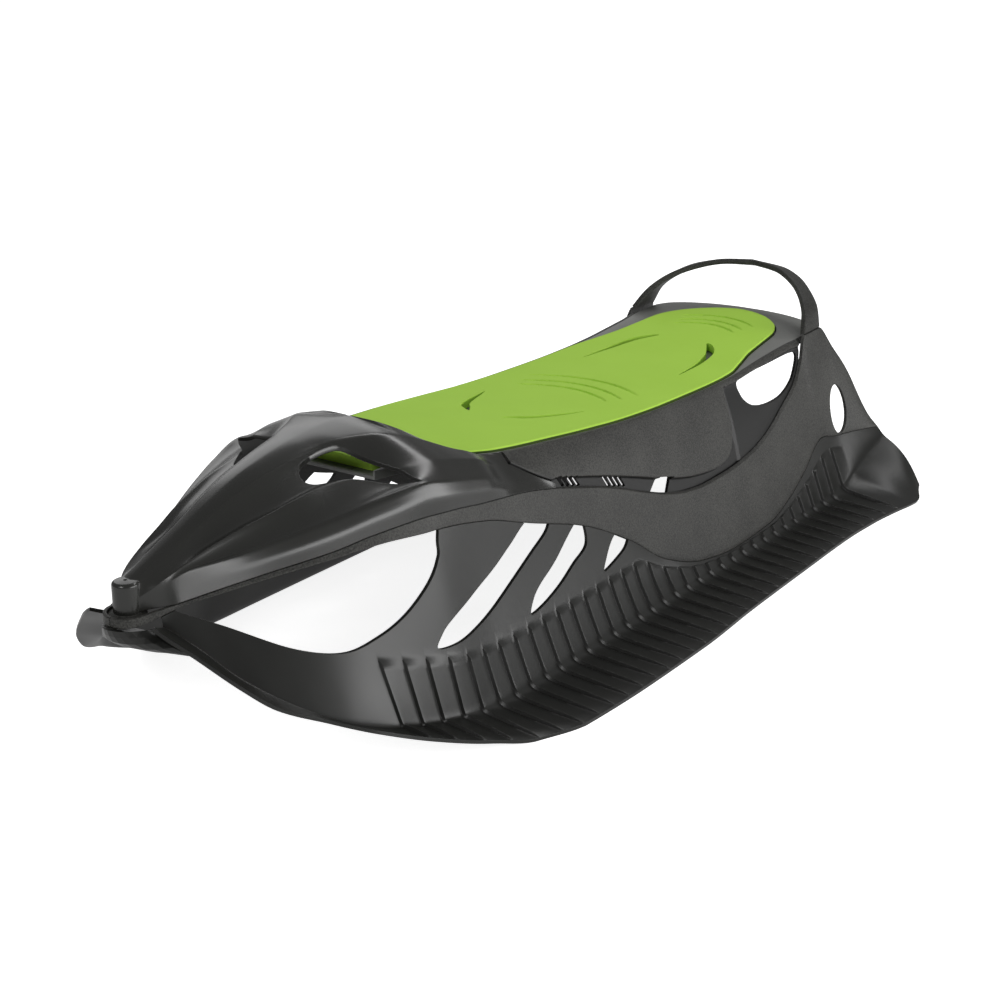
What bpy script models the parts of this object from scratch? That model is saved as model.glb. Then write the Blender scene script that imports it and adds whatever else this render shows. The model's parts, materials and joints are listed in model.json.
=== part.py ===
"""Two-runner plastic sled with a soft seat pad, built as separate pieces.

Metres, +Z up, nose towards -Y. The origin is the middle of the footprint, on the snow.
Lengths along the sled are measured from the centre of the nose ring ("station") and are
turned into Y when a mesh is made. Every shell is a loft: a row is a line from nose to
tail, the rows are joined across the sled, given a wall, and cut through.
"""
import bpy
import bmesh
import numpy as np
from math import cos, sin, pi, radians, sqrt

# Driving sizes
nose_to_origin = 0.579         # station of the origin
wall = 0.0035                  # wall of every moulded shell
seam = 0.0004                  # clearance where two mouldings butt
tuck = 0.0006                  # clearance where one wall lies behind another
ring_radius = 0.022            # nose ring, outside
nose_radius = 0.0115           # upright rounded nose of the hood
hood_end = 0.485               # station where the hood's flank runs out
wall_start = 0.4338            # station where the side wall takes over from the hood
wall_end = 1.0505
leg_lean = 0.45                # the wall's rear edge leans back with the leg
tail_station = 1.165           # rear end of runners and bands
leg_top = 0.2105               # height where the handle stands on the bands

# Stepped tread of the runners
step_pitch = 0.0254            # one riser to the next
step_height = 0.0030           # riser where wall and ledge meet
first_step = 0.215
last_step = 1.085
riser_run = 0.0016             # length of a riser along the sled
ledge_sweep = -0.006           # how far a riser runs back across the ledge

# Seat
pad_thickness = 0.009
pad_clearance = 0.0006         # pad to rim and pad to floor
pad_crown = 0.0015
pad_front = 0.300
pad_rear = 1.138
rim_lip = 0.0025               # deck rim beside the pad
rim_below_pad = 0.002          # rim top under the pad's top edge
panel_step = 0.0060            # how far the channel lies behind the grained panel
panel_bulge = 0.003
band_overlap = 0.008           # how far the side wall reaches down behind the band

# Lines of the right half, as (station, half width, height)
bend_line = [(0.014, 0.029, 0.158), (0.017, 0.033, 0.155), (0.030, 0.058, 0.137),
             (0.045, 0.085, 0.113), (0.065, 0.115, 0.092), (0.098, 0.145, 0.068),
             (0.130, 0.160, 0.050), (0.180, 0.168, 0.030), (0.230, 0.177, 0.018),
             (0.280, 0.185, 0.012), (0.380, 0.188, 0.010), (1.000, 0.188, 0.010),
             (1.060, 0.189, 0.014), (1.110, 0.194, 0.032), (1.165, 0.205, 0.060)]
# Outer edge of the ledge, as (station of its bend point, half width, own station, height)
edge_line = [(0.014, 0.040, -0.008, 0.168), (0.017, 0.048, -0.006, 0.163),
             (0.030, 0.072, 0.008, 0.144), (0.045, 0.104, 0.030, 0.114),
             (0.065, 0.127, 0.058, 0.086), (0.098, 0.153, 0.098, 0.065),
             (0.130, 0.181, 0.131, 0.050), (0.180, 0.208, 0.180, 0.030),
             (0.230, 0.233, 0.233, 0.013), (0.280, 0.258, 0.282, 0.0035),
             (0.335, 0.276, 0.335, 0.0035), (0.450, 0.280, 0.450, 0.0035),
             (0.560, 0.279, 0.560, 0.0035), (0.680, 0.272, 0.680, 0.0035),
             (0.810, 0.267, 0.810, 0.0035), (0.950, 0.263, 0.950, 0.0035),
             (1.005, 0.265, 1.005, 0.0035), (1.057, 0.271, 1.060, 0.0035),
             (1.110, 0.279, 1.112, 0.0035), (1.165, 0.266, 1.165, 0.012)]
# Lower edge of the side band, where the runner meets it
band_low = [(0.000, 0.022, 0.163), (0.036, 0.038, 0.1735), (0.075, 0.055, 0.178),
            (0.107, 0.070, 0.182), (0.171, 0.099, 0.188), (0.223, 0.119, 0.192),
            (0.276, 0.133, 0.190), (0.360, 0.137, 0.176), (0.430, 0.143, 0.153),
            (0.520, 0.151, 0.124), (0.600, 0.160, 0.084), (0.660, 0.171, 0.045),
            (0.730, 0.180, 0.023), (0.800, 0.183, 0.0165), (0.890, 0.182, 0.020),
            (0.950, 0.177, 0.033), (1.000, 0.171, 0.052), (1.064, 0.163, 0.080),
            (1.100, 0.168, 0.074), (1.165, 0.193, 0.074)]
# Upper edge of the side band
band_high = [(0.000, 0.022, 0.172), (0.048, 0.041, 0.178), (0.110, 0.068, 0.186),
             (0.175, 0.097, 0.194), (0.211, 0.110, 0.200), (0.266, 0.126, 0.204),
             (0.310, 0.132, 0.201), (0.357, 0.133, 0.194), (0.430, 0.135, 0.185),
             (0.480, 0.137, 0.175), (0.535, 0.140, 0.162), (0.590, 0.144, 0.146),
             (0.646, 0.149, 0.126), (0.686, 0.153, 0.113), (0.730, 0.155, 0.103),
             (0.780, 0.156, 0.099), (0.830, 0.156, 0.100), (0.890, 0.154, 0.106),
             (0.936, 0.151, 0.117), (0.984, 0.146, 0.138), (1.022, 0.141, 0.156),
             (1.050, 0.134, 0.182), (1.0665, 0.129, leg_top), (1.113, 0.1275, leg_top),
             (1.130, 0.138, 0.183), (1.145, 0.149, 0.157), (1.157, 0.159, 0.128),
             (1.165, 0.167, 0.098)]
# Hood: upper edge of the smooth side, ridge under the hand opening, crest edge
hood_side = [(0.000, 0.0112, 0.178), (0.020, 0.024, 0.192), (0.045, 0.034, 0.203),
             (0.100, 0.056, 0.209), (0.184, 0.091, 0.223), (0.230, 0.107, 0.231),
             (0.278, 0.121, 0.237), (0.310, 0.1255, 0.231), (0.360, 0.128, 0.2195),
             (0.420, 0.131, 0.2035)]
hood_ridge = [(0.000, 0.0112, 0.184), (0.020, 0.0235, 0.1975), (0.050, 0.031, 0.210),
              (0.080, 0.037, 0.220), (0.110, 0.045, 0.228), (0.140, 0.052, 0.234),
              (0.170, 0.058, 0.240), (0.200, 0.062, 0.2435), (0.230, 0.070, 0.2447),
              (0.260, 0.084, 0.2430), (0.285, 0.098, 0.2460), (0.310, 0.104, 0.2465),
              (0.340, 0.108, 0.2410), (0.380, 0.113, 0.2310), (0.420, 0.120, 0.2185)]
hood_crest = [(0.000, 0.0100, 0.1975), (0.020, 0.011, 0.204), (0.050, 0.012, 0.216),
              (0.080, 0.013, 0.228), (0.110, 0.015, 0.240), (0.140, 0.018, 0.250),
              (0.170, 0.021, 0.258), (0.200, 0.024, 0.264), (0.230, 0.028, 0.268),
              (0.260, 0.038, 0.2705), (0.290, 0.052, 0.2700), (0.316, 0.066, 0.2645),
              (0.340, 0.078, 0.2545), (0.370, 0.092, 0.2405), (0.400, 0.102, 0.2305),
              (0.420, 0.108, 0.2205)]
# Hood: middle line, then the curved rear edge over the pad
hood_top = [(0.000, 0.0, 0.2000), (0.050, 0.0, 0.2195), (0.110, 0.0, 0.2435),
            (0.170, 0.0, 0.2620), (0.230, 0.0, 0.2720), (0.290, 0.0, 0.2755),
            (0.314, 0.0, 0.2740), (0.318, 0.025, 0.2725), (0.325, 0.045, 0.2680),
            (0.335, 0.060, 0.2605), (0.355, 0.0745, 0.2455), (0.375, 0.0845, 0.2335),
            (0.400, 0.0940, 0.2265), (0.4310, 0.1045, 0.2225)]
# Upper edge of the hood's flank, behind a short drop of the rear edge
flank_top = [(0.4325, 0.1140, 0.2110), (0.460, 0.1285, 0.1930), (0.485, 0.1366, 0.1795)]
# Lower edge of the grained panel, as (station, height)
panel_low = [(0.433, 0.2135), (0.460, 0.1960), (0.495, 0.1810), (0.566, 0.1600),
             (0.660, 0.1345), (0.741, 0.1135), (0.774, 0.1080), (0.809, 0.1075),
             (0.830, 0.1110), (0.843, 0.1190), (0.853, 0.1330), (0.858, 0.1500),
             (0.863, 0.1800), (0.869, 0.1920)]
# Edge of the pad's top, as (station, half width, height)
pad_edge = [(0.300, 0.050, 0.2360), (0.340, 0.062, 0.2350), (0.380, 0.075, 0.2305),
            (0.405, 0.086, 0.2275), (0.430, 0.0975, 0.2255), (0.460, 0.102, 0.2225),
            (0.500, 0.106, 0.2188), (0.580, 0.111, 0.2107), (0.660, 0.1135, 0.2035),
            (0.740, 0.1145, 0.1993), (0.860, 0.1145, 0.1968), (0.900, 0.113, 0.1973),
            (0.940, 0.105, 0.1994), (0.980, 0.096, 0.2022), (1.020, 0.091, 0.2048),
            (1.060, 0.086, 0.2072), (1.093, 0.073, 0.2080), (1.117, 0.053, 0.2085),
            (1.130, 0.034, 0.2090), (1.139, 0.012, 0.2090)]
# Outer face of the deck's rim, as (station, half width)
deck_outline = [(0.288, 0.0540), (0.380, 0.0780), (0.405, 0.0890), (0.433, 0.1014),
                (0.460, 0.1055), (0.500, 0.1090), (0.580, 0.1140), (0.660, 0.1165),
                (0.740, 0.1175), (0.860, 0.1175), (0.900, 0.1170), (0.960, 0.1150),
                (1.020, 0.1155), (1.070, 0.1185), (1.110, 0.1190), (1.128, 0.1100),
                (1.143, 0.0930), (1.154, 0.0700), (1.161, 0.0450), (1.165, 0.0150)]
# Rear handle, front and rear edge of its outer face, as (share of the way up, half width,
# station, height)
handle_front = [(0.0, 0.1290, 1.0668, 0.2110), (0.2, 0.1190, 1.085, 0.2310),
                (0.4, 0.1010, 1.107, 0.2490), (0.6, 0.0750, 1.130, 0.2620),
                (0.8, 0.0400, 1.151, 0.2710), (1.0, 0.0000, 1.160, 0.2740)]
handle_rear = [(0.0, 0.1275, 1.1130, 0.2110), (0.2, 0.1190, 1.1220, 0.2330),
               (0.4, 0.1010, 1.1350, 0.2500), (0.6, 0.0750, 1.1530, 0.2620),
               (0.8, 0.0400, 1.1720, 0.2670), (1.0, 0.0000, 1.1800, 0.2680)]
handle_thickness = 0.005


def smooth(keys, at, column):
    """Value of one column of keys at each place: a cubic that never overshoots a key."""
    table = np.array(keys, float)
    place = table[:, 0]
    value = table[:, column]
    at = np.clip(np.asarray(at, float), place[0], place[-1])
    slope = np.diff(value) / np.diff(place)
    tangent = np.zeros(len(place))
    tangent[0] = slope[0]
    tangent[-1] = slope[-1]
    same_way = slope[:-1] * slope[1:] > 0
    total = np.where(same_way, slope[:-1] + slope[1:], 1.0)
    tangent[1:-1] = np.where(same_way, 2 * slope[:-1] * slope[1:] / total, 0.0)
    left = np.clip(np.searchsorted(place, at, side="right") - 1, 0, len(place) - 2)
    step = place[left + 1] - place[left]
    t = (at - place[left]) / step
    rise = t * t * (3 - 2 * t)
    return (value[left] * (1 - rise) + value[left + 1] * rise
            + tangent[left] * step * t * (1 - t) ** 2
            - tangent[left + 1] * step * t * t * (1 - t))


def ease(start, end, at):
    """Smooth rise from 0 at start to 1 at end."""
    t = np.clip((np.asarray(at, float) - start) / (end - start), 0, 1)
    return t * t * (3 - 2 * t)


def line(keys, stations):
    """Points (half width, station, height) of a line of the right half."""
    return np.stack([smooth(keys, stations, 1), stations, smooth(keys, stations, 2)], axis=-1)


def mix(first, second, share):
    """Point between two points or rows; share may differ from station to station."""
    share = np.asarray(share, float)
    if share.ndim:
        share = share[:, None]
    return first * (1 - share) + second * share


def outward(grid):
    """Unit normals of a grid of rows and stations."""
    along = np.gradient(grid, axis=1)
    across = np.gradient(grid, axis=0)
    normal = np.cross(along, across)
    return normal / np.linalg.norm(normal, axis=2, keepdims=True)


def plastic(name, colour, roughness, metallic=0.0):
    """Principled material."""
    material = bpy.data.materials.get(name)
    if material is None:
        material = bpy.data.materials.new(name)
        material.use_nodes = True
        shader = material.node_tree.nodes["Principled BSDF"]
        shader.inputs["Base Color"].default_value = (*colour, 1)
        shader.inputs["Roughness"].default_value = roughness
        shader.inputs["Metallic"].default_value = metallic
        material.diffuse_color = (*colour, 1)
    return material


def gloss():
    return plastic("gloss_charcoal", (0.040, 0.040, 0.038), 0.22)


def grained():
    return plastic("grained_charcoal", (0.062, 0.061, 0.057), 0.55)


def foam():
    return plastic("green_foam", (0.27, 0.57, 0.05), 0.62)


def steel():
    return plastic("zinc_steel", (0.55, 0.55, 0.56), 0.35, 1.0)


def add_object(name, mesh_points, faces, material):
    """Closed mesh from points in sled measure (x, station, z), faces turned outwards."""
    mesh = bpy.data.meshes.new(name)
    placed = np.array(mesh_points, float)
    placed[:, 1] -= nose_to_origin
    mesh.from_pydata(placed.tolist(), [], faces)
    shape = bmesh.new()
    shape.from_mesh(mesh)
    bmesh.ops.recalc_face_normals(shape, faces=shape.faces)
    shape.to_mesh(mesh)
    shape.free()
    item = bpy.data.objects.new(name, mesh)
    bpy.context.collection.objects.link(item)
    if material:
        mesh.materials.append(material)
        mesh.shade_smooth()
        mesh.set_sharp_from_angle(angle=radians(32))
    return item


def zip_borders(first, second, first_place, second_place):
    """Faces between two border lines whose points lie at unlike places along them."""
    faces = []
    here = 0
    there = 0
    while here < len(first) - 1 or there < len(second) - 1:
        next_first = first_place[here + 1] if here < len(first) - 1 else 1e9
        next_second = second_place[there + 1] if there < len(second) - 1 else 1e9
        if abs(next_first - next_second) < 1e-9:
            faces.append([first[here], first[here + 1], second[there + 1], second[there]])
            here += 1
            there += 1
        elif next_first < next_second:
            faces.append([first[here], first[here + 1], second[there]])
            here += 1
        else:
            faces.append([first[here], second[there + 1], second[there]])
            there += 1
    return faces


def between(name, outer, inner, material, kept_rows=None, kept_columns=None):
    """Solid between two grids. The inner side may keep only some rows and stations."""
    rows, columns = outer.shape[:2]
    kept_rows = list(range(rows)) if kept_rows is None else kept_rows
    kept_columns = list(range(columns)) if kept_columns is None else kept_columns
    coarse = inner[np.ix_(kept_rows, kept_columns)]
    points = np.concatenate([outer.reshape(-1, 3), coarse.reshape(-1, 3)])
    fine_at = np.arange(rows * columns).reshape(rows, columns)
    coarse_at = (rows * columns + np.arange(coarse.shape[0] * coarse.shape[1])).reshape(coarse.shape[:2])
    faces = []
    for index, flip in ((fine_at, False), (coarse_at, True)):
        for row in range(index.shape[0] - 1):
            for column in range(index.shape[1] - 1):
                quad = [index[row, column], index[row, column + 1],
                        index[row + 1, column + 1], index[row + 1, column]]
                faces.append([int(corner) for corner in (reversed(quad) if flip else quad)])
    for end, way in ((0, 1), (-1, -1)):
        faces += [face[::way] for face in zip_borders(coarse_at[end].tolist(), fine_at[end].tolist(),
                                                      kept_columns, range(columns))]
        faces += [face[::way] for face in zip_borders(fine_at[:, end].tolist(), coarse_at[:, end].tolist(),
                                                      range(rows), kept_rows)]
    return add_object(name, points, faces, material)


def unit(vectors):
    return vectors / np.linalg.norm(vectors, axis=-1, keepdims=True)


def squared(normal, stations):
    """Wall direction where two pieces butt: level, and straight across behind the nose, so
    that both pieces end on the same face."""
    flat = normal.copy()
    flat[:, 1] *= 1 - ease(0.16, 0.26, stations)
    flat[:, 2] = 0
    return unit(flat)


def inside_of(grid, thickness, butted):
    """Inner side of a wall; the butted rows end square to their neighbour."""
    normal = outward(grid)
    for row in butted:
        normal[row] = squared(normal[row], grid[row, :, 1])
    return grid - thickness * normal


def shell(name, grid, thickness, material, butted=()):
    """Grid given a wall on its inner side."""
    return between(name, grid, inside_of(grid, thickness, butted), material)


def mirrored(grid):
    """The same grid on the left side."""
    flipped = grid[::-1].copy()
    flipped[..., 0] *= -1
    return flipped


def both_sides(rows, middle=True):
    """Grid across the whole sled from the rows of the right half, outermost first. With a
    middle row, the last row lies on the centre line."""
    right = np.array(rows)
    return np.concatenate([right, mirrored(right[:-1] if middle else right)])


def prism(name, outline, axis, low, high):
    """Cutter: an outline pushed along an axis. Outline pairs are (x or station, station or z)."""
    bottom = []
    top = []
    for first, second in outline:
        if axis == "x":
            bottom.append((low, first, second))
            top.append((high, first, second))
        else:
            bottom.append((first, second, low))
            top.append((first, second, high))
    count = len(outline)
    faces = [list(range(count)), list(range(2 * count - 1, count - 1, -1))]
    for index in range(count):
        after = (index + 1) % count
        faces.append([index, after, count + after, count + index])
    cutter = add_object(name, bottom + top, faces, None)
    cutter.hide_render = True
    cutter.display_type = "WIRE"
    return cutter


def combine(item, other, operation):
    """Boolean modifier."""
    other.hide_render = True
    other.display_type = "WIRE"
    modifier = item.modifiers.new(operation.lower() + "_" + other.name, "BOOLEAN")
    modifier.operation = operation
    modifier.solver = "EXACT"
    modifier.object = other


def curved(points, per_piece=4, closed=True):
    """Smooth line through points (Catmull-Rom), for outlines of openings."""
    base = np.array(points, float)
    count = len(base)
    drawn = []
    for index in range(count if closed else count - 1):
        if closed:
            p0, p1, p2, p3 = (base[(index + shift) % count] for shift in (-1, 0, 1, 2))
        else:
            p0, p1, p2, p3 = (base[min(max(index + shift, 0), count - 1)] for shift in (-1, 0, 1, 2))
        for step in range(per_piece):
            t = step / per_piece
            drawn.append(tuple(0.5 * (2 * p1 + (p2 - p0) * t + (2 * p0 - 5 * p1 + 4 * p2 - p3) * t * t
                                      + (3 * p1 - p0 - 3 * p2 + p3) * t ** 3)))
    if not closed:
        drawn.append(tuple(base[-1]))
    return drawn


def ellipse(centre, half_long, half_high, lean=0.0, points=16):
    """Ellipse as pairs (station, height); lean turns it, in radians."""
    pairs = []
    for index in range(points):
        angle = 2 * pi * index / points
        along = half_long * cos(angle)
        up = half_high * sin(angle)
        pairs.append((centre[0] + along * cos(lean) - up * sin(lean),
                      centre[1] + along * sin(lean) + up * cos(lean)))
    return pairs


def on_both(build):
    """Run a builder for the right side and for the left side."""
    build("right", 1)
    build("left", -1)


def sided(grid, side):
    return grid if side > 0 else mirrored(grid)


# Side of the sled, from the bend of the runner up to the deck's rim

def rim_point(stations):
    """Outer upper edge of the side wall."""
    edge = line(pad_edge, stations)
    outline = smooth(deck_outline, stations, 1) + wall + tuck + 0.0006
    return np.stack([outline, stations, edge[:, 2] - rim_below_pad], axis=-1)


def side_x(stations, heights):
    """Half width of the outer side surface at a station and height."""
    low = line(band_low, stations)
    high = line(band_high, stations)
    rim = rim_point(stations)
    above = np.clip((heights - high[:, 2]) / (rim[:, 2] - high[:, 2]), 0, 1)
    band = (heights - low[:, 2]) / (high[:, 2] - low[:, 2])
    upper = high[:, 0] * (1 - above) + rim[:, 0] * above + panel_bulge * 4 * above * (1 - above)
    lower = low[:, 0] * (1 - band) + high[:, 0] * band
    return np.where(heights > high[:, 2], upper, lower)


# Runners

lowest_curve = 0.0003          # the curved ends stay this much above the flat sole
front_stations = [0.014, 0.022, 0.032, 0.045, 0.062, 0.085, 0.115, 0.150, 0.185]
tail_stations = [1.098, 1.113, 1.122, 1.132, 1.145, 1.157, tail_station]
rib_top = [(0.150, 0.100), (0.228, 0.080), (0.289, 0.066), (0.350, 0.059), (0.700, 0.058), (1.165, 0.090)]
ledge_share = [1.0, 0.86, 0.5, 0.12]      # rows of the ledge, from its outer edge to the bend
wall_rows = 6                             # bend, two rows above it, rib top, one more, seam
step_share = [0, 0.3, 0.9, 1, 1, 1, 0.6, 0, 0, 0]
sweep_share = ledge_share + [0] * wall_rows


def riser_feet():
    """Stations where the risers of the tread start; the band and the hood share them."""
    return np.arange(first_step, last_step, step_pitch)


def step_stations():
    """Pairs of stations, foot and head of each riser, and how far up each one stands."""
    stations = list(front_stations)
    raised = [0.0] * len(stations)
    for riser in riser_feet():
        stations += [riser, riser + riser_run]
        raised += [0.0, 1.0]
    stations += tail_stations
    raised += [0.0] * len(tail_stations)
    return np.array(stations), np.array(raised)


def runner_row(index, stations):
    """One row of the runner's smooth base surface, counted from the outer edge of the ledge."""
    low = line(band_low, stations)
    bend = line(bend_line, stations)
    drop = bend - low
    height = np.linalg.norm(drop, axis=1)
    if index >= len(ledge_share):
        reach = np.clip((low[:, 2] - smooth(rib_top, stations, 1)) / (low[:, 2] - bend[:, 2]), 0.25, 0.8)
        shares = [1 + 0 * reach, 0.86 + 0 * reach, 0.5 * (reach + 0.86), reach, 0.5 * reach, seam / height]
        down = shares[index - len(ledge_share)]
        point = mix(low, bend, down)
        hollow = 0.006 * ease(0.25, 0.34, stations) * (1 - ease(0.60, 0.70, stations))
        point[:, 0] -= hollow * 4 * down * (1 - down)
        return point
    share = ledge_share[index]
    edge = np.stack([smooth(edge_line, stations, column) for column in (1, 2, 3)], axis=-1)
    point = mix(bend, edge, share)
    level = ease(0.24, 0.33, stations) * (1 - ease(1.02, 1.12, stations))
    point[:, 2] = point[:, 2] * (1 - level) + level * (0.0035 + 0.002 * (1 - share) ** 3)
    tail = ease(1.06, tail_station, stations)
    point[:, 2] += 0.010 * tail * 4 * share * (1 - share)
    return point


def runner_grid():
    """Base surface, and the same surface with the steps of the tread standing on it."""
    stations, raised = step_stations()
    swept = ease(0.15, 0.26, stations) * (1 - ease(1.09, tail_station, stations))
    rows = []
    for index in range(len(step_share)):
        rows.append(runner_row(index, stations + ledge_sweep * sweep_share[index] * swept))
    base = np.array(rows)
    lift = np.array(step_share)[:, None] * raised[None, :] * step_height
    return base, base + lift[..., None] * outward(base)


front_opening = [(0.017, 0.180), (0.060, 0.150), (0.105, 0.122), (0.150, 0.108), (0.190, 0.112),
                 (0.225, 0.124), (0.254, 0.142), (0.274, 0.160), (0.281, 0.175), (0.278, 0.215),
                 (0.150, 0.215), (0.040, 0.205)]
slot_one = [(0.426, 0.158), (0.459, 0.152), (0.455, 0.138), (0.424, 0.123), (0.381, 0.105),
            (0.338, 0.089), (0.305, 0.082), (0.277, 0.080), (0.249, 0.083), (0.255, 0.093),
            (0.272, 0.103), (0.314, 0.114), (0.356, 0.127), (0.391, 0.142)]
slot_two = [(0.506, 0.133), (0.518, 0.130), (0.520, 0.104), (0.492, 0.091), (0.460, 0.078),
            (0.425, 0.069), (0.400, 0.067), (0.409, 0.079), (0.425, 0.089), (0.462, 0.105)]
slot_three = [(0.574, 0.100), (0.597, 0.095), (0.592, 0.080), (0.572, 0.072), (0.543, 0.067),
              (0.550, 0.078)]
inside_x = 0.020
outside_x = 0.320


def side_cut(item, name, outline, side, near=inside_x):
    """Cut an outline (station, height) through one side, along X."""
    low, high = (near, outside_x) if side > 0 else (-outside_x, -near)
    combine(item, prism(name, outline, "x", low, high), "DIFFERENCE")


def build_runner(word, side):
    """Runner: upturned front, big opening, struts, stepped tread, ledge and raised tail."""
    base, stepped = runner_grid()
    inner = inside_of(base, wall, [-1])
    stations = base[-1, :, 1]
    sole = (stations > 0.335) & (stations < 1.02)
    inner[..., 2] = np.maximum(inner[..., 2], lowest_curve)
    ledge = len(ledge_share)
    inner[:ledge, sole] = base[:ledge, sole]
    inner[:ledge, sole, 2] = 0.0
    kept = [0, 1, 3, 4, 5, 7, 9]
    if side < 0:
        kept = [9 - row for row in reversed(kept)]
    feet = [column for column in range(len(stations)) if stations[column] not in riser_feet() + riser_run]
    item = between("runner_" + word, sided(stepped, side), sided(inner, side), gloss(), kept, feet)
    side_cut(item, "cut_front_" + word, front_opening, side)
    side_cut(item, "cut_slot_one_" + word, slot_one, side, 0.100)
    side_cut(item, "cut_slot_two_" + word, slot_two, side, 0.100)
    side_cut(item, "cut_slot_three_" + word, slot_three, side, 0.100)


# Side bands, rear legs and nose collar

leg_start = 1.040              # the ribbon ends and the rear leg begins
leg_slot_centre = (1.110, 0.106)
leg_slot_half = (0.0150, 0.0310)
leg_slot_lean = radians(-12)


def band_stations():
    """Round the nose ring by angle, then along the side."""
    around = -ring_radius * np.cos(np.radians([2, 20, 40, 60, 78]))
    feet = riser_feet()
    leg = [leg_start - 2 * seam, leg_start, 1.050, 1.058, 1.0665, 1.080]
    return around, np.concatenate([[0.0], front_stations, feet[feet < 1.035], leg, tail_stations])


def band_row(keys):
    """One edge of the band, from the front of the nose ring to the tail."""
    around, along = band_stations()
    front = np.stack([np.sqrt(ring_radius ** 2 - around ** 2), around,
                      np.full(len(around), keys[0][2])], axis=-1)
    return np.concatenate([front, line(keys, along)])


def build_band(word, side):
    """Grained band: strip at the nose and wide ribbon, then the leg under the rear handle."""
    low = band_row(band_low)
    high = band_row(band_high)
    grid = np.array([mix(low, high, share) for share in (0.0, 0.5, 1.0)])
    inner = inside_of(grid, wall, [0, -1])
    ahead = grid[0, :, 1] < leg_start - seam
    between("side_band_" + word, sided(grid[:, ahead], side), sided(inner[:, ahead], side), grained())
    leg = between("rear_leg_" + word, sided(grid[:, ~ahead], side), sided(inner[:, ~ahead], side), grained())
    side_cut(leg, "cut_leg_" + word, ellipse(leg_slot_centre, *leg_slot_half, leg_slot_lean), side, 0.100)


def turned(name, profile, centre, segments, material):
    """Ring or pin turned about a vertical axis; profile pairs are (radius, height)."""
    count = len(profile)
    points = []
    for index in range(segments):
        angle = 2 * pi * index / segments
        for radius, height in profile:
            points.append((centre[0] + radius * cos(angle), centre[1] + radius * sin(angle), height))
    faces = []
    for index in range(segments):
        after = (index + 1) % segments
        for corner in range(count):
            other = (corner + 1) % count
            faces.append([index * count + corner, after * count + corner,
                          after * count + other, index * count + other])
    return add_object(name, points, faces, material)


def build_collar():
    """Grained collar between the bands and the upright nose."""
    outside = ring_radius - wall - tuck
    inside = nose_radius + seam
    turned("nose_collar", [(inside, 0.161), (outside, 0.162), (outside, 0.1695), (inside + 0.001, 0.1715),
                           (inside, 0.1715)], (0, 0), 28, grained())


# Middle line of the chin, as (share of its depth, station, height)
chin_middle = [(0.0, -0.0262, 0.1620), (0.25, -0.0220, 0.1505), (0.5, -0.0060, 0.1385),
               (0.75, 0.0180, 0.1310), (1.0, 0.0420, 0.1285)]
chin_reach = (0.016, 0.042)    # stations between which it follows the bends of the runners
chin_inset = [0.0068, 0.0100]  # its ends stay this far inside the bends, above and below


def build_chin():
    """Curved web under the nose ring that joins the upturned fronts of the two runners."""
    rows = []
    for share in np.linspace(0, 1, 8):
        bend = line(bend_line, np.array([chin_reach[0] + (chin_reach[1] - chin_reach[0]) * share]))[0]
        turn = np.linspace(pi / 2, -pi / 2, 17)
        back = 1 - np.cos(turn)
        station = smooth(chin_middle, [share], 1)[0]
        height = smooth(chin_middle, [share], 2)[0]
        inset = chin_inset[0] * (1 - share) + chin_inset[1] * share
        rows.append(np.stack([(bend[0] - inset) * np.sin(turn),
                              station + (bend[1] - station) * back,
                              height + (bend[2] - height) * back], axis=-1))
    shell("nose_chin", np.array(rows), wall, gloss())


# Hood

def hood_rows(stations):
    """Rows of the right half of the hood, from the band's upper edge to the middle."""
    low = line(band_high, stations)
    low[:, 0] -= (ring_radius - nose_radius) * (1 - ease(0.0, 0.032, stations))
    low[:, 2] += seam
    behind_drop = stations > hood_top[-1][0]
    top = np.where(behind_drop[:, None], line(flank_top, stations), line(hood_top, stations))
    top[:, 1] = stations
    side = line(hood_side, stations)
    ridge = line(hood_ridge, stations)
    crest = line(hood_crest, stations)
    flank = ease(0.375, 0.430, stations)
    side = mix(side, mix(low, top, 0.40), flank)
    ridge = mix(ridge, mix(low, top, 0.68), flank)
    crest = mix(crest, mix(low, top, 0.88), flank)
    groove = ease(0.03, 0.10, stations) * (1 - ease(0.24, 0.31, stations))
    lower_groove = mix(side, ridge, 0.5)
    lower_groove[:, 2] -= 0.0020 * groove
    upper_groove = mix(ridge, crest, 0.5)
    upper_groove[:, 2] -= 0.0045 * groove
    shoulder = mix(crest, top, 0.45)
    shoulder[:, 2] += 0.0012 * (1 - ease(0.30, 0.33, stations))
    belly = mix(low, side, 0.5)
    belly[:, 0] += 0.0020 * ease(0.05, 0.15, stations) * (1 - ease(0.40, 0.43, stations))
    return [low, belly, side, lower_groove, ridge, upper_groove, crest, shoulder, top]


arch_front = 0.314
edge_drop = [hood_top[-1][0], flank_top[0][0]]
hand_opening = [(0.030, 0.218), (0.034, 0.236), (0.043, 0.2500), (0.058, 0.2600), (0.078, 0.2690),
                (0.100, 0.2760), (0.117, 0.2800), (0.108, 0.2690), (0.092, 0.2560), (0.077, 0.2400),
                (0.064, 0.2200), (0.052, 0.2010), (0.040, 0.1960), (0.031, 0.2030)]


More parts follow.
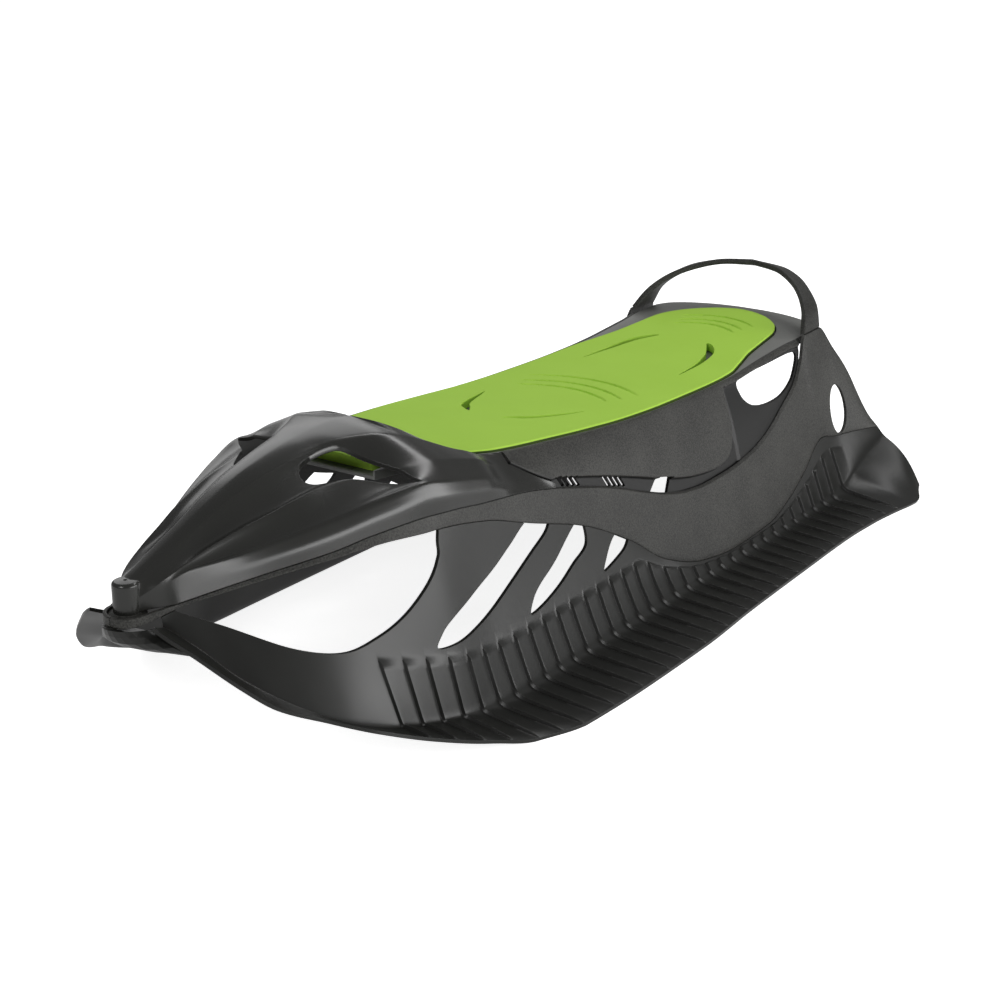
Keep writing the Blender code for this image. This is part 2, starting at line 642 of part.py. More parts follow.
def build_hood():
    """Front cover with crest, grooves, two hand openings and the arch over the pad."""
    front = riser_feet()
    stations = np.concatenate([[0.0, 0.007], front_stations, [0.200], front[front < 0.30], [0.304, arch_front,
                               0.318, 0.325, 0.335, 0.348, 0.364, 0.382, 0.400, 0.416], edge_drop,
                               [0.445, 0.460, 0.473, hood_end]])
    item = build_hood_shell(stations)
    post = turned("nose_post_union", [(0.0018, 0.162), (nose_radius, 0.162), (nose_radius, 0.1985),
                                      (nose_radius - 0.0015, 0.2000), (0.0018, 0.2003)],
                  (0, 0), 28, None)
    combine(item, post, "UNION")
    for word, side in (("right", 1), ("left", -1)):
        outline = [(side * x, station) for x, station in curved(hand_opening, 2)]
        combine(item, prism("cut_hand_" + word, outline, "z", 0.205, 0.300), "DIFFERENCE")


def build_hood_shell(stations):
    """Cover in one piece in front, parting into two flanks behind the arch. Where the rear
    edge drops suddenly, the wall takes its neighbour's direction, so that it does not fold."""
    right = np.array(hood_rows(stations))
    normal = outward(right)
    whole = stations < arch_front + 0.0001
    normal[-1, whole, 0] = 0
    drop = list(stations).index(edge_drop[0])
    normal[:, drop] = normal[:, drop - 1]
    normal[:, drop + 1] = normal[:, drop + 2]
    normal = unit(normal)
    normal[0] = squared(normal[0], stations)
    flank = stations > edge_drop[0]
    normal[-1, flank] = squared(normal[-1, flank], stations[flank])
    inner = right - wall * normal
    return forked("hood", both_sides(right), both_sides(inner), len(right) - 1, int(whole.sum()), gloss())


def forked(name, outer, inner, middle, first_open, material):
    """Solid between two grids whose middle row stops where the two flanks part."""
    rows, columns = outer.shape[:2]
    points = np.concatenate([outer.reshape(-1, 3), inner.reshape(-1, 3)])
    behind = rows * columns
    quads = []
    for row in range(rows - 1):
        for column in range(columns - 1):
            quads.append((row * columns + column, row * columns + column + 1,
                          (row + 1) * columns + column + 1, (row + 1) * columns + column))
    right_top = {middle * columns + column: len(points) + column for column in range(columns)}
    extra_outer = outer[middle].copy()
    extra_outer[:, 0] *= -1
    extra_inner = inner[middle].copy()
    extra_inner[:, 0] *= -1
    points = np.concatenate([points, extra_outer, extra_inner])
    faces = []
    for quad in quads:
        left_side = quad[0] // columns >= middle
        front = []
        back = []
        for corner in quad:
            row, column = divmod(corner, columns)
            if left_side and row == middle and column >= first_open:
                front.append(right_top[corner])
                back.append(right_top[corner] + columns)
            else:
                front.append(corner)
                back.append(corner + behind)
        faces.append((front, back))
    edge_count = {}
    for front, back in faces:
        for here, there, here_back, there_back in zip(front, front[1:] + front[:1],
                                                      back, back[1:] + back[:1]):
            key = frozenset((here, there))
            edge_count.setdefault(key, []).append((here, there, here_back, there_back))
    solid_faces = []
    for front, back in faces:
        solid_faces.append(front)
        solid_faces.append(back[::-1])
    for uses in edge_count.values():
        if len(uses) == 1:
            here, there, here_back, there_back = uses[0]
            solid_faces.append([here, here_back, there_back, there])
    used = sorted({corner for face in solid_faces for corner in face})
    new_index = {old: new for new, old in enumerate(used)}
    return add_object(name, points[used],
                      [[new_index[corner] for corner in face] for face in solid_faces], material)


# Side walls

grille_centres = [(0.505, 0.1735), (0.585, 0.1535)]
grille_bars = 4
grille_pitch = 0.0085
grille_width = 0.0045
grille_height = 0.0075
grille_slant = 0.005
channel_window = [(0.655, 0.1265), (0.664, 0.1285), (0.690, 0.1205), (0.688, 0.1165), (0.680, 0.1175)]
rear_hole = [(0.902, 0.1860), (0.930, 0.1890), (0.985, 0.1905), (1.036, 0.1925), (1.046, 0.1900),
             (1.042, 0.1790), (1.024, 0.1620), (0.995, 0.1510), (0.965, 0.1480), (0.938, 0.1500),
             (0.916, 0.1570), (0.903, 0.1690)]


def build_side_wall(word, side):
    """Raised grained panel, the channel under it, and the area round the hand hole."""
    stations = np.concatenate([[wall_start, 0.445, 0.460, 0.473, 0.487, 0.500], np.arange(0.525, 0.80, 0.03),
                               [0.809, 0.826, 0.836, 0.843, 0.849, 0.854, 0.859, 0.864, 0.869],
                               np.arange(0.885, 1.04, 0.03), [1.046, wall_end]])
    rim = rim_point(stations)
    high = line(band_high, stations)
    hood_edge = smooth(flank_top, stations, 2) + 2.5 * seam
    behind_band = np.minimum(high[:, 2] - band_overlap, rim[:, 2] - 0.018)
    taken_over = ease(0.485, 0.502, stations)
    bottom = hood_edge * (1 - taken_over) + behind_band * taken_over
    panel = np.where(stations > 0.868, rim[:, 2] - 0.0060, smooth(panel_low, stations, 1))
    panel = np.maximum(panel, bottom + 0.0080)
    inset = 0.0003 + panel_step * ease(0.455, 0.486, stations) * (1 - 0.58 * ease(0.860, 0.8695, stations))
    over_band = bottom + wall + (band_overlap - wall + 0.0020) * taken_over
    behind = wall + tuck + 0.0004
    tucked = np.maximum(inset, behind * taken_over)
    heights = [bottom, over_band, 0.5 * (over_band + panel), panel - 0.0010, panel + 0.0010,
               0.66 * panel + 0.34 * rim[:, 2] + 0.0012, 0.33 * panel + 0.67 * rim[:, 2] + 0.0012, rim[:, 2]]
    insets = [tucked, tucked, inset, inset, 0.0003, 0.0003, 0.0003, 0.0]
    rows = []
    for height, depth in zip(heights, insets):
        rows.append(np.stack([side_x(stations, height) - depth, stations, height], axis=-1))
    grid = np.array(rows)
    grid[:, -1, 1] += leg_lean * np.maximum(grid[:, -1, 2] - high[-1, 2], 0)
    inner = inside_of(grid, wall, [0])
    item = between("side_wall_" + word, sided(grid, side), sided(inner, side), grained())
    for number, (station, height) in enumerate(grille_centres):
        for bar in range(grille_bars):
            middle = station + (bar - (grille_bars - 1) / 2) * grille_pitch
            drop = (middle - station) * -0.26
            outline = [(middle - grille_width / 2 - grille_slant / 2, height + drop - grille_height / 2),
                       (middle + grille_width / 2 - grille_slant / 2, height + drop - grille_height / 2),
                       (middle + grille_width / 2 + grille_slant / 2, height + drop + grille_height / 2),
                       (middle - grille_width / 2 + grille_slant / 2, height + drop + grille_height / 2)]
            side_cut(item, "cut_grille_%s_%d_%d" % (word, number, bar), outline, side, 0.100)
    side_cut(item, "cut_window_" + word, channel_window, side, 0.100)
    side_cut(item, "cut_rear_hole_" + word, rear_hole, side, 0.085)


# Deck, pad, handle, ribs and screws

def floor_height(stations):
    """Top of the deck's floor, under the pad."""
    return smooth(pad_edge, stations, 2) - pad_thickness - pad_clearance


def pad_stations():
    return np.concatenate([[pad_front, 0.306], np.arange(0.335, 1.05, 0.045),
                           [1.060, 1.078, 1.093, 1.106, 1.117, 1.125, 1.132, pad_rear]])


def deck_stations():
    """The deck shares the pad's stations, so that its rim follows the pad all round."""
    return np.concatenate([[pad_front - 0.012], pad_stations()[:-1],
                           [pad_rear + pad_clearance, pad_rear + pad_clearance + 0.0012,
                            1.149, 1.156, 1.161, 1.1645]])


def build_deck():
    """Tray that the pad lies in: floor, low rim on both sides, shelf behind."""
    stations = deck_stations()
    outline = smooth(deck_outline, stations, 1)
    recess = np.minimum(smooth(pad_edge, stations, 1) + pad_clearance, outline - rim_lip)
    rim = smooth(pad_edge, stations, 2) - rim_below_pad
    floor = floor_height(stations)
    behind = stations > pad_rear + pad_clearance + 0.0001
    recess = np.where(behind, outline * 0.55, recess)
    floor = np.where(behind, rim, floor)
    under = floor_height(stations) - wall

    def row(half_width, height):
        return np.stack([half_width, stations, height], axis=-1)

    top = [row(outline, rim), row(recess, rim), row(recess - 0.0004, floor)]
    bottom = [row(outline, under), row(recess, under), row(recess - 0.0004, under)]
    item = between("seat_deck", both_sides(top, False), both_sides(bottom, False), grained(), [0, 5])
    for place in screw_places():
        hole = capped("cut_screw_%d" % round(1000 * (place[1] + place[0])),
                      screw_profile(floor_height(np.array([place[1]]))[0], 0.0003, 0.004), 10, None, place)
        combine(item, hole, "DIFFERENCE")


groove_radius = 0.0022
front_grooves = [[(0.0762, 0.745), (0.0, 0.772)], [(0.0702, 0.720), (0.0, 0.745)],
                 [(0.0616, 0.701), (0.0, 0.722)]]
rear_grooves = [[(0.0537, 1.069), (0.0, 1.090)], [(0.0483, 1.049), (0.0, 1.068)],
                [(0.0431, 1.035), (0.0, 1.051)]]
front_slit = [(0.022, 0.549), (0.033, 0.5550), (0.047, 0.568), (0.060, 0.604), (0.0690, 0.645),
              (0.054, 0.606), (0.042, 0.578), (0.031, 0.5640)]
rear_slit = [(0.035, 0.982), (0.047, 0.9760), (0.062, 0.951), (0.068, 0.905), (0.0690, 0.852),
             (0.0625, 0.905), (0.053, 0.945), (0.044, 0.9650)]


def pad_top(stations, half_width, share):
    """Height of the pad's top: edge height and a low crown."""
    return smooth(pad_edge, stations, 2) + pad_crown * (1 - share * share)


def build_pad():
    """Foam seat: crowned, rounded at its edge, with curved grooves and hooked slits."""
    stations = pad_stations()
    half = smooth(pad_edge, stations, 1)
    half[0] -= 0.010
    bottom_height = floor_height(stations) + pad_clearance
    top = []
    bottom = []
    for share in (1.0, 0.985, 0.94, 0.7, 0.35, 0.0):
        drop = 0.0030 * ease(0.94, 1.0, share)
        top.append(np.stack([half * share, stations, pad_top(stations, half, share) - drop], axis=-1))
        bottom.append(np.stack([half * share * 0.99, stations, bottom_height], axis=-1))
    top = both_sides(top)
    bottom = both_sides(bottom)
    item = between("seat_pad", top, bottom, foam())
    for number, arc in enumerate(front_grooves + rear_grooves):
        combine(item, groove_cutter("cut_groove_%d" % number, arc), "DIFFERENCE")
    for word, outline in (("front", front_slit), ("rear", rear_slit)):
        for side in (1, -1):
            pairs = [(side * x, station) for x, station in outline]
            combine(item, prism("cut_slit_%s_%d" % (word, side), pairs, "z", 0.150, 0.260), "DIFFERENCE")


def groove_cutter(name, arc):
    """Bowed rod, thin at both ends, half sunk in the pad's top."""
    (end_x, end_station), (_, middle_station) = arc
    sections = 12
    sides = 6
    points = []
    for index in range(sections + 1):
        t = -1 + 2 * index / sections
        x = end_x * t
        station = middle_station + (end_station - middle_station) * t * t
        radius = groove_radius * max(sqrt(1 - t * t), 0.12)
        centre = pad_top(np.array([station]), 0, abs(x) / 0.11)[0] + 0.0006
        for corner in range(sides):
            angle = 2 * pi * corner / sides
            points.append((x, station + radius * cos(angle), centre + 0.9 * radius * sin(angle)))
    faces = [list(range(sides)), [sections * sides + corner for corner in reversed(range(sides))]]
    for index in range(sections):
        for corner in range(sides):
            after = (corner + 1) % sides
            faces.append([index * sides + corner, index * sides + after,
                          (index + 1) * sides + after, (index + 1) * sides + corner])
    return add_object(name, points, faces, None)


def build_handle():
    """Arch behind the seat: a strap whose outer face leans back at the top."""
    shares = np.linspace(0, 1, 13)
    rows = []
    for blend in (0.0, 0.5, 1.0):
        front = np.stack([smooth(handle_front, shares, column) for column in (1, 2, 3)], axis=-1)
        rear = np.stack([smooth(handle_rear, shares, column) for column in (1, 2, 3)], axis=-1)
        strip = mix(front, rear, blend)
        rows.append(np.concatenate([strip, strip[-2::-1] * [-1, 1, 1]]))
    grid = np.array(rows)
    normal = np.cross(np.gradient(grid, axis=0), np.gradient(grid, axis=1))
    normal /= np.linalg.norm(normal, axis=2, keepdims=True)
    normal[:, 0, 2] = 0
    normal[:, -1, 2] = 0
    inner = grid - handle_thickness * normal
    crown = grid.copy()
    crown[1] += 0.0012 * normal[1]
    between("rear_handle", crown, inner, grained())


rib_stations = {"front": 0.520, "middle": 0.680, "rear": 0.850}
rib_thickness = 0.004
rib_depth = 0.045
boss_radius = 0.0045
boss_depth = 0.020
screw_x = 0.055


def screw_places():
    places = []
    for station in rib_stations.values():
        places.append((screw_x, station))
        places.append((-screw_x, station))
    return places


def screw_profile(top, clearance, extra):
    """Countersunk screw as (radius, height), grown by a clearance for its hole."""
    head = 0.0036 + clearance
    shank = 0.0018 + clearance
    tip = top - 0.014 - extra
    return [(shank, tip), (shank, top - 0.0022), (head, top - 0.0004), (head, top + extra * 0.5 - 0.0002)]


def build_rib(word, station):
    """Cross rib under the deck, arched below, with two screw bosses."""
    deck_under = floor_height(np.array([station]))[0] - wall - tuck
    foot = deck_under - rib_depth
    outline = []
    for height in (deck_under, deck_under - 0.4 * rib_depth, foot):
        x = side_x(np.array([station]), np.array([height]))[0] - panel_step - 1.08 * wall - 2 * tuck
        outline.append((x, height))
    half_foot = outline[-1][0]
    arch = []
    for share in np.linspace(1, -1, 9):
        arch.append((share * (half_foot - 0.018), foot + 0.020 * (1 - share ** 2)))
    pairs = outline + arch + [(-x, height) for x, height in reversed(outline)]
    points = []
    for offset in (-rib_thickness / 2, rib_thickness / 2):
        points += [(x, station + offset, height) for x, height in pairs]
    count = len(pairs)
    faces = [list(range(count)), list(range(2 * count - 1, count - 1, -1))]
    for index in range(count):
        after = (index + 1) % count
        faces.append([index, after, count + after, count + index])
    item = add_object("cross_rib_" + word, points, faces, grained())
    for side in (1, -1):
        place = (side * screw_x, station)
        boss = capped("boss_%s_%d" % (word, side), [(boss_radius, deck_under - boss_depth),
                                                    (boss_radius, deck_under)], 10, None, place)
        combine(item, boss, "UNION")
    for side in (1, -1):
        place = (side * screw_x, station)
        top = floor_height(np.array([station]))[0]
        hole = capped("cut_boss_%s_%d" % (word, side), screw_profile(top, 0.0003, 0.0010), 10, None, place)
        combine(item, hole, "DIFFERENCE")


def build_screws():
    """Countersunk screws that hold the deck to its ribs; they share one mesh."""
    profile = screw_profile(0.0, 0.0, 0.0)
    shared = None
    for word, station in rib_stations.items():
        for hand, side in (("left", -1), ("right", 1)):
            name = "deck_screw_%s_%s" % (word, hand)
            if shared is None:
                item = capped(name, profile, 10, steel())
                shared = item.data
            else:
                item = bpy.data.objects.new(name, shared)
                bpy.context.collection.objects.link(item)
            top = floor_height(np.array([station]))[0]
            item.location = (side * screw_x, station - nose_to_origin, top)


def capped(name, profile, segments, material, centre=(0, nose_to_origin)):
    """Turned solid with flat ends about a vertical axis."""
    count = len(profile)
    points = []
    for index in range(segments):
        angle = 2 * pi * index / segments
        for radius, height in profile:
            points.append((centre[0] + radius * cos(angle), centre[1] + radius * sin(angle), height))
    faces = [[index * count for index in range(segments)],
             [index * count + count - 1 for index in reversed(range(segments))]]
    for index in range(segments):
        after = (index + 1) % segments
        for corner in range(count - 1):
            faces.append([index * count + corner, after * count + corner,
                          after * count + corner + 1, index * count + corner + 1])
    return add_object(name, points, faces, material)


def build_all():
    for item in list(bpy.data.objects):
        bpy.data.objects.remove(item, do_unlink=True)
    on_both(build_runner)
    on_both(build_band)
    build_collar()
    build_chin()
    build_hood()
    on_both(build_side_wall)
    build_deck()
    build_pad()
    build_handle()
    for word, station in rib_stations.items():
        build_rib(word, station)
    build_screws()


build_all()
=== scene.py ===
import json
import bmesh
import bpy
import numpy as np
from math import pi, radians, cos, sin
from mathutils import Matrix, Vector

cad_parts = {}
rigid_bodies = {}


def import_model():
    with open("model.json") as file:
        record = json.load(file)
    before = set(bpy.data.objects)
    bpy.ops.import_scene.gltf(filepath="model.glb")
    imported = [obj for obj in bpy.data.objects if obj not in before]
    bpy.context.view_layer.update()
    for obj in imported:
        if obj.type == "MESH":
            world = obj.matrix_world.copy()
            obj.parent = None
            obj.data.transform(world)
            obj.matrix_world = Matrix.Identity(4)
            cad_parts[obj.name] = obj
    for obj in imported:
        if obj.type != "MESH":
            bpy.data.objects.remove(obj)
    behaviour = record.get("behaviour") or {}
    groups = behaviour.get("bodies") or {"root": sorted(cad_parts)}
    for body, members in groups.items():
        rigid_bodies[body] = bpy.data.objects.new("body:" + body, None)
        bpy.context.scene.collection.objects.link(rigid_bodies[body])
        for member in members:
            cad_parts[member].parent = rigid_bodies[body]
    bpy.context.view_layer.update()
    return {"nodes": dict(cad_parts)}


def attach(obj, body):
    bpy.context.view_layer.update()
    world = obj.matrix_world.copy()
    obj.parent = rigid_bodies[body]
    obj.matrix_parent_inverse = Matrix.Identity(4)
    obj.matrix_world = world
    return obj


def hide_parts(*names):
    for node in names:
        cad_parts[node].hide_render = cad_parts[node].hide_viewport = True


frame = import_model()
print("frame loaded:", len(frame["nodes"]), "nodes")

# lengths are stations from the centre of the nose ring; a mesh's Y is its station minus noseToOrigin
sled = {
    "noseToOrigin": 0.579,
    "wall": 0.0035,
    "seam": 0.0004,             # clearance where two mouldings butt
    "clearance": 0.0006,        # play round the deck and under the pad
    "rimDrop": 0.0034,          # rims of deck and walls below the pad's upper edge
    "ringRadius": 0.022,
    "noseRadius": 0.0115,
    "noseEnd": (0.16, 0.26),    # stations over which the walls turn straight across
    "padRear": 1.138,
    "tail": 1.165,
    "sideReach": 0.320,         # half width at which the cuts through a side end
    "tolerance": 0.0001,
    "weld": 0.00001,
    "roundPoints": 7,           # on a quarter turn
}


# curves and grids

def through(keys, at, column):
    # cubic through key points (place, value, value ...) that never overshoots a key
    table = np.array(keys, float)
    place, value = table[:, 0], table[:, column]
    at = np.clip(np.asarray(at, float), place[0], place[-1])
    slope = np.diff(value) / np.diff(place)
    tangent = np.zeros(len(place))
    tangent[0], tangent[-1] = slope[0], slope[-1]
    sameWay = slope[:-1] * slope[1:] > 0
    total = np.where(sameWay, slope[:-1] + slope[1:], 1)
    tangent[1:-1] = np.where(sameWay, 2 * slope[:-1] * slope[1:] / total, 0)
    left = np.clip(np.searchsorted(place, at, side="right") - 1, 0, len(place) - 2)
    step = place[left + 1] - place[left]
    t = (at - place[left]) / step
    rise = t * t * (3 - 2 * t)
    return (value[left] * (1 - rise) + value[left + 1] * rise
            + tangent[left] * step * t * (1 - t) ** 2 - tangent[left + 1] * step * t * t * (1 - t))


def ease(start, end, at):
    # smooth rise from 0 at start to 1 at end: 3t^2 - 2t^3
    t = np.clip((np.asarray(at, float) - start) / (end - start), 0, 1)
    return t * t * (3 - 2 * t)


def between(rise, fall, at):
    # 1 between two smooth ramps, up over the span rise and down over the span fall
    return ease(*rise, at) * (1 - ease(*fall, at))


def lineOf(keys, stations):
    # points (half width, station, height) of a line of the right half
    return np.stack([through(keys, stations, 1), stations, through(keys, stations, 2)], axis=-1)


def blendRows(first, second, share):
    # first + share * (second - first), with one share or one for each station
    share = np.asarray(share, float)
    if share.ndim:
        share = share[:, None]
    return first * (1 - share) + second * share


def normalsOf(grid):
    # cross product of the steps along and across the grid, made unit length
    normal = np.cross(np.gradient(grid, axis=1), np.gradient(grid, axis=0))
    return normal / np.maximum(np.linalg.norm(normal, axis=2, keepdims=True), 1e-12)


def unit(vectors):
    return vectors / np.linalg.norm(vectors, axis=-1, keepdims=True)


def bowed(first, second, count, sag, crowding):
    # rows after first up to second; between the two they hang by sag * 4 t (1 - t), t being their share.
    # crowding above 0 draws the rows together at both ends
    even = np.arange(1, count + 1) / count
    share = (even * (1 - crowding) + ease(0, 1, even) * crowding)[:, None]
    rows = first[None] * (1 - share[..., None]) + second[None] * share[..., None]
    rows[..., 2] -= sag * 4 * share * (1 - share)
    return rows


def acrossRows(rows, counts):
    # straight spans between neighbouring rows, each cut into its count of parts
    pieces = [rows[0][None]]
    for number, count in enumerate(counts):
        share = (np.arange(1, count + 1) / count)[:, None, None]
        pieces.append(rows[number][None] * (1 - share) + rows[number + 1][None] * share)
    return np.concatenate(pieces)


def rounded(grid, passes, mirroredEnd=None):
    # every inner row moves to (before + 2 itself + after) / 4, a few times over: crests turn round.
    # Where mirroredEnd is true, the row after the last one is the mirror image of the one before it.
    for _ in range(passes):
        moved = grid.copy()
        moved[1:-1] = 0.25 * grid[:-2] + 0.5 * grid[1:-1] + 0.25 * grid[2:]
        if mirroredEnd is not None:
            meet = 0.5 * grid[-1] + 0.5 * grid[-2]
            meet[:, 0] = 0
            moved[-1] = np.where(mirroredEnd[:, None], meet, grid[-1])
        grid = moved
    return grid


def squared(normal, stations):
    # wall direction where two mouldings butt: level, and straight across behind the nose
    flat = normal.copy()
    flat[:, 1] *= 1 - ease(*sled["noseEnd"], stations)
    flat[:, 2] = 0
    return unit(flat)


def mirrored(grid):
    return grid[::-1] * [-1, 1, 1]


def sided(grid, side):
    return grid if side > 0 else mirrored(grid)


def spaced(*spans):
    # stations from spans (start, end, step), joined without repeats
    runs = []
    for start, end, step in spans:
        runs.append(np.linspace(start, end, max(2, int(round((end - start) / step)) + 1)))
    return np.unique(np.round(np.concatenate(runs), 6))


# meshes

def gridQuads(rowCount, columnCount, first=0):
    # corner numbers of every cell of a grid whose points are stored row by row
    at = first + np.arange(rowCount * columnCount).reshape(rowCount, columnCount)
    return np.stack([at[:-1, :-1], at[:-1, 1:], at[1:, 1:], at[1:, :-1]], axis=-1).reshape(-1, 4)


def borderQuads(rowCount, columnCount, openUpTo=None):
    # cells between the border of one grid and the border of the equal grid stored after it.
    # On the last row, those up to the column openUpTo are left out.
    at = np.arange(rowCount * columnCount).reshape(rowCount, columnCount)
    ring = np.concatenate([at[0, :-1], at[:-1, -1], at[-1, :0:-1], at[:0:-1, 0]])
    after = np.roll(ring, -1)
    quads = np.stack([after, ring, ring + rowCount * columnCount, after + rowCount * columnCount], axis=-1)
    if openUpTo is not None:
        lastRow = (ring // columnCount == rowCount - 1) & (after // columnCount == rowCount - 1)
        quads = quads[~(lastRow & (np.maximum(ring, after) % columnCount <= openUpTo))]
    return quads


def newObject(name, data):
    made = bpy.data.objects.new(name, data)
    bpy.context.scene.collection.objects.link(made)
    return made


def meshPiece(name, points, quads, weld=False):
    # a mesh object from points in sled measure; faces are turned so that its volume is positive
    placed = np.array(points, float)
    placed[:, 1] -= sled["noseToOrigin"]
    quads = np.asarray(quads)
    a, b, c, d = (placed[quads[:, corner]] for corner in range(4))
    volume = (np.einsum("ij,ij->", a, np.cross(b, c)) + np.einsum("ij,ij->", a, np.cross(c, d))) / 6
    if volume < 0:
        quads = quads[:, ::-1]
    mesh = bpy.data.meshes.new(name)
    mesh.from_pydata(placed.tolist(), [], quads.tolist())
    piece = newObject(name, mesh)
    if weld:
        modifier = piece.modifiers.new("weld", "WELD")
        modifier.merge_threshold = sled["weld"]
        settle(piece)
    return piece


def solidBetween(name, outer, inner):
    # closed solid: an outer grid, an inner grid that faces the other way, and the strip between their borders
    rowCount, columnCount = outer.shape[:2]
    inside = gridQuads(rowCount, columnCount, rowCount * columnCount)[:, ::-1]
    quads = np.concatenate([gridQuads(rowCount, columnCount), inside, borderQuads(rowCount, columnCount)])
    return meshPiece(name, np.concatenate([outer.reshape(-1, 3), inner.reshape(-1, 3)]), quads)


def settle(piece):
    # apply a piece's modifiers to its mesh
    bpy.context.view_layer.update()
    evaluated = piece.evaluated_get(bpy.context.evaluated_depsgraph_get())
    baked = bpy.data.meshes.new_from_object(evaluated)
    piece.modifiers.clear()
    old = piece.data
    piece.data = baked
    bpy.data.meshes.remove(old)


def smoothOutline(points, perPiece=8):
    # closed Catmull-Rom line; between p1 and p2 it is half of
    # 2 p1 + (p2 - p0) t + (2 p0 - 5 p1 + 4 p2 - p3) t^2 + (3 p1 - p0 - 3 p2 + p3) t^3
    base = np.array(points, float)
    before, here, after, beyond = (np.roll(base, shift, axis=0) for shift in (1, 0, -1, -2))
    t = (np.arange(perPiece) / perPiece)[None, :, None]
    before, here, after, beyond = (value[:, None] for value in (before, here, after, beyond))
    drawn = 0.5 * (2 * here + (after - before) * t + (2 * before - 5 * here + 4 * after - beyond) * t ** 2
                   + (3 * here - before - 3 * after + beyond) * t ** 3)
    return drawn.reshape(-1, 2)


def prismCorners(outline, axis, low, high):
    # the outline at low on the axis, and then once more at high
    outline = np.asarray(outline, float)
    ends = []
    for level in (low, high):
        flat = np.full(len(outline), level)
        if axis == "x":
            ends.append(np.stack([flat, outline[:, 0], outline[:, 1]], axis=-1))
        else:
            ends.append(np.stack([outline[:, 0], outline[:, 1], flat], axis=-1))
    return np.concatenate(ends)


def cutThrough(piece, outlines, axis, low, high):
    # one Boolean with all the prisms of a piece; the piece keeps the result as plain mesh
    points, faces = [], []
    for outline in outlines:
        start, count = len(points), len(outline)
        prism = prismCorners(outline, axis, low, high)
        prism[:, 1] -= sled["noseToOrigin"]
        points += prism.tolist()
        faces.append([start + corner for corner in range(count)])
        faces.append([start + 2 * count - 1 - corner for corner in range(count)])
        for corner in range(count):
            after = (corner + 1) % count
            faces.append([start + corner, start + after, start + count + after, start + count + corner])
    mesh = bpy.data.meshes.new("cutter")
    mesh.from_pydata(points, [], faces)
    cutter = newObject("cutter", mesh)
    turnOutwards(cutter)
    boolean(piece, cutter, "DIFFERENCE")


def cutSide(piece, outlines, side, start):
    # cuts through one side of the sled, from the half width start outwards
    low, high = sorted((side * start, side * sled["sideReach"]))
    cutThrough(piece, outlines, "x", low, high)


def turnOutwards(piece):
    shape = bmesh.new()
    shape.from_mesh(piece.data)
    bmesh.ops.recalc_face_normals(shape, faces=shape.faces)
    shape.to_mesh(piece.data)
    shape.free()


def boolean(piece, other, operation):
    facesBefore = len(piece.data.polygons)
    modifier = piece.modifiers.new("cut", "BOOLEAN")
    modifier.operation = operation
    modifier.solver = "EXACT"
    modifier.object = other
    settle(piece)
    bpy.data.objects.remove(other, do_unlink=True)
    if len(piece.data.polygons) < facesBefore / 2:
        raise RuntimeError(piece.name + " lost most of its faces in a Boolean")


def finishPiece(piece, nodes, material, sharpDegrees):
    piece.data.materials.clear()
    piece.data.materials.append(material)
    piece.data.shade_smooth()
    piece.data.set_sharp_from_angle(angle=radians(sharpDegrees))
    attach(piece, "root")
    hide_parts(*nodes)


# shader maths

class Wire:
    # a socket of a node tree, on which plain sums can be written
    def __init__(self, tree, socket):
        self.tree, self.socket = tree, socket

    def maths(self, operation, *others, clamp=False):
        return nodeOf(self.tree, "ShaderNodeMath", {"operation": operation, "use_clamp": clamp},
                      {0: self, **{place + 1: other for place, other in enumerate(others)}}, 0)

    def __add__(self, other):
        return self.maths("ADD", other)

    def __radd__(self, other):
        return self.maths("ADD", other)

    def __sub__(self, other):
        return self.maths("SUBTRACT", other)

    def __rsub__(self, other):
        return nodeOf(self.tree, "ShaderNodeMath", {"operation": "SUBTRACT"}, {0: other, 1: self}, 0)

    def __mul__(self, other):
        return self.maths("MULTIPLY", other)

    def __rmul__(self, other):
        return self.maths("MULTIPLY", other)

    def clamped(self):
        return self.maths("ADD", 0.0, clamp=True)


def feed(tree, node, sockets):
    # wires are linked to the sockets, and plain values are set on them
    for name, value in sockets.items():
        if isinstance(value, Wire):
            tree.links.new(value.socket, node.inputs[name])
        else:
            node.inputs[name].default_value = value


def nodeOf(tree, kind, settings, sockets, output=0):
    # any node: its settings first, then the values or links of its sockets
    node = tree.nodes.new(kind)
    for name, value in settings.items():
        setattr(node, name, value)
    feed(tree, node, sockets)
    return Wire(tree, node.outputs[output])


def shaded(colour, factor):
    return tuple(value * factor for value in colour)


def mixed(tree, share, low, high):
    # colour that goes from low to high with share; a plain colour is three numbers
    ends = [(*colour, 1) if isinstance(colour, tuple) else colour for colour in (low, high)]
    return nodeOf(tree, "ShaderNodeMix", {"data_type": "RGBA"}, {0: share, 6: ends[0], 7: ends[1]}, 2)


def newMaterial(name):
    material = bpy.data.materials.new(name)
    material.use_nodes = True
    tree = material.node_tree
    shader = tree.nodes["Principled BSDF"]
    place = nodeOf(tree, "ShaderNodeTexCoord", {}, {}, "Object")
    return material, tree, shader, place


def noiseAt(tree, place, scale, detail=2.0, roughness=0.5, stretch=None):
    # noise in object metres; stretch scales the axes first
    if stretch is not None:
        place = nodeOf(tree, "ShaderNodeMapping", {}, {"Vector": place, "Scale": stretch}, 0)
    return nodeOf(tree, "ShaderNodeTexNoise", {}, {"Vector": place, "Scale": scale, "Detail": detail,
                                                   "Roughness": roughness}, "Fac")


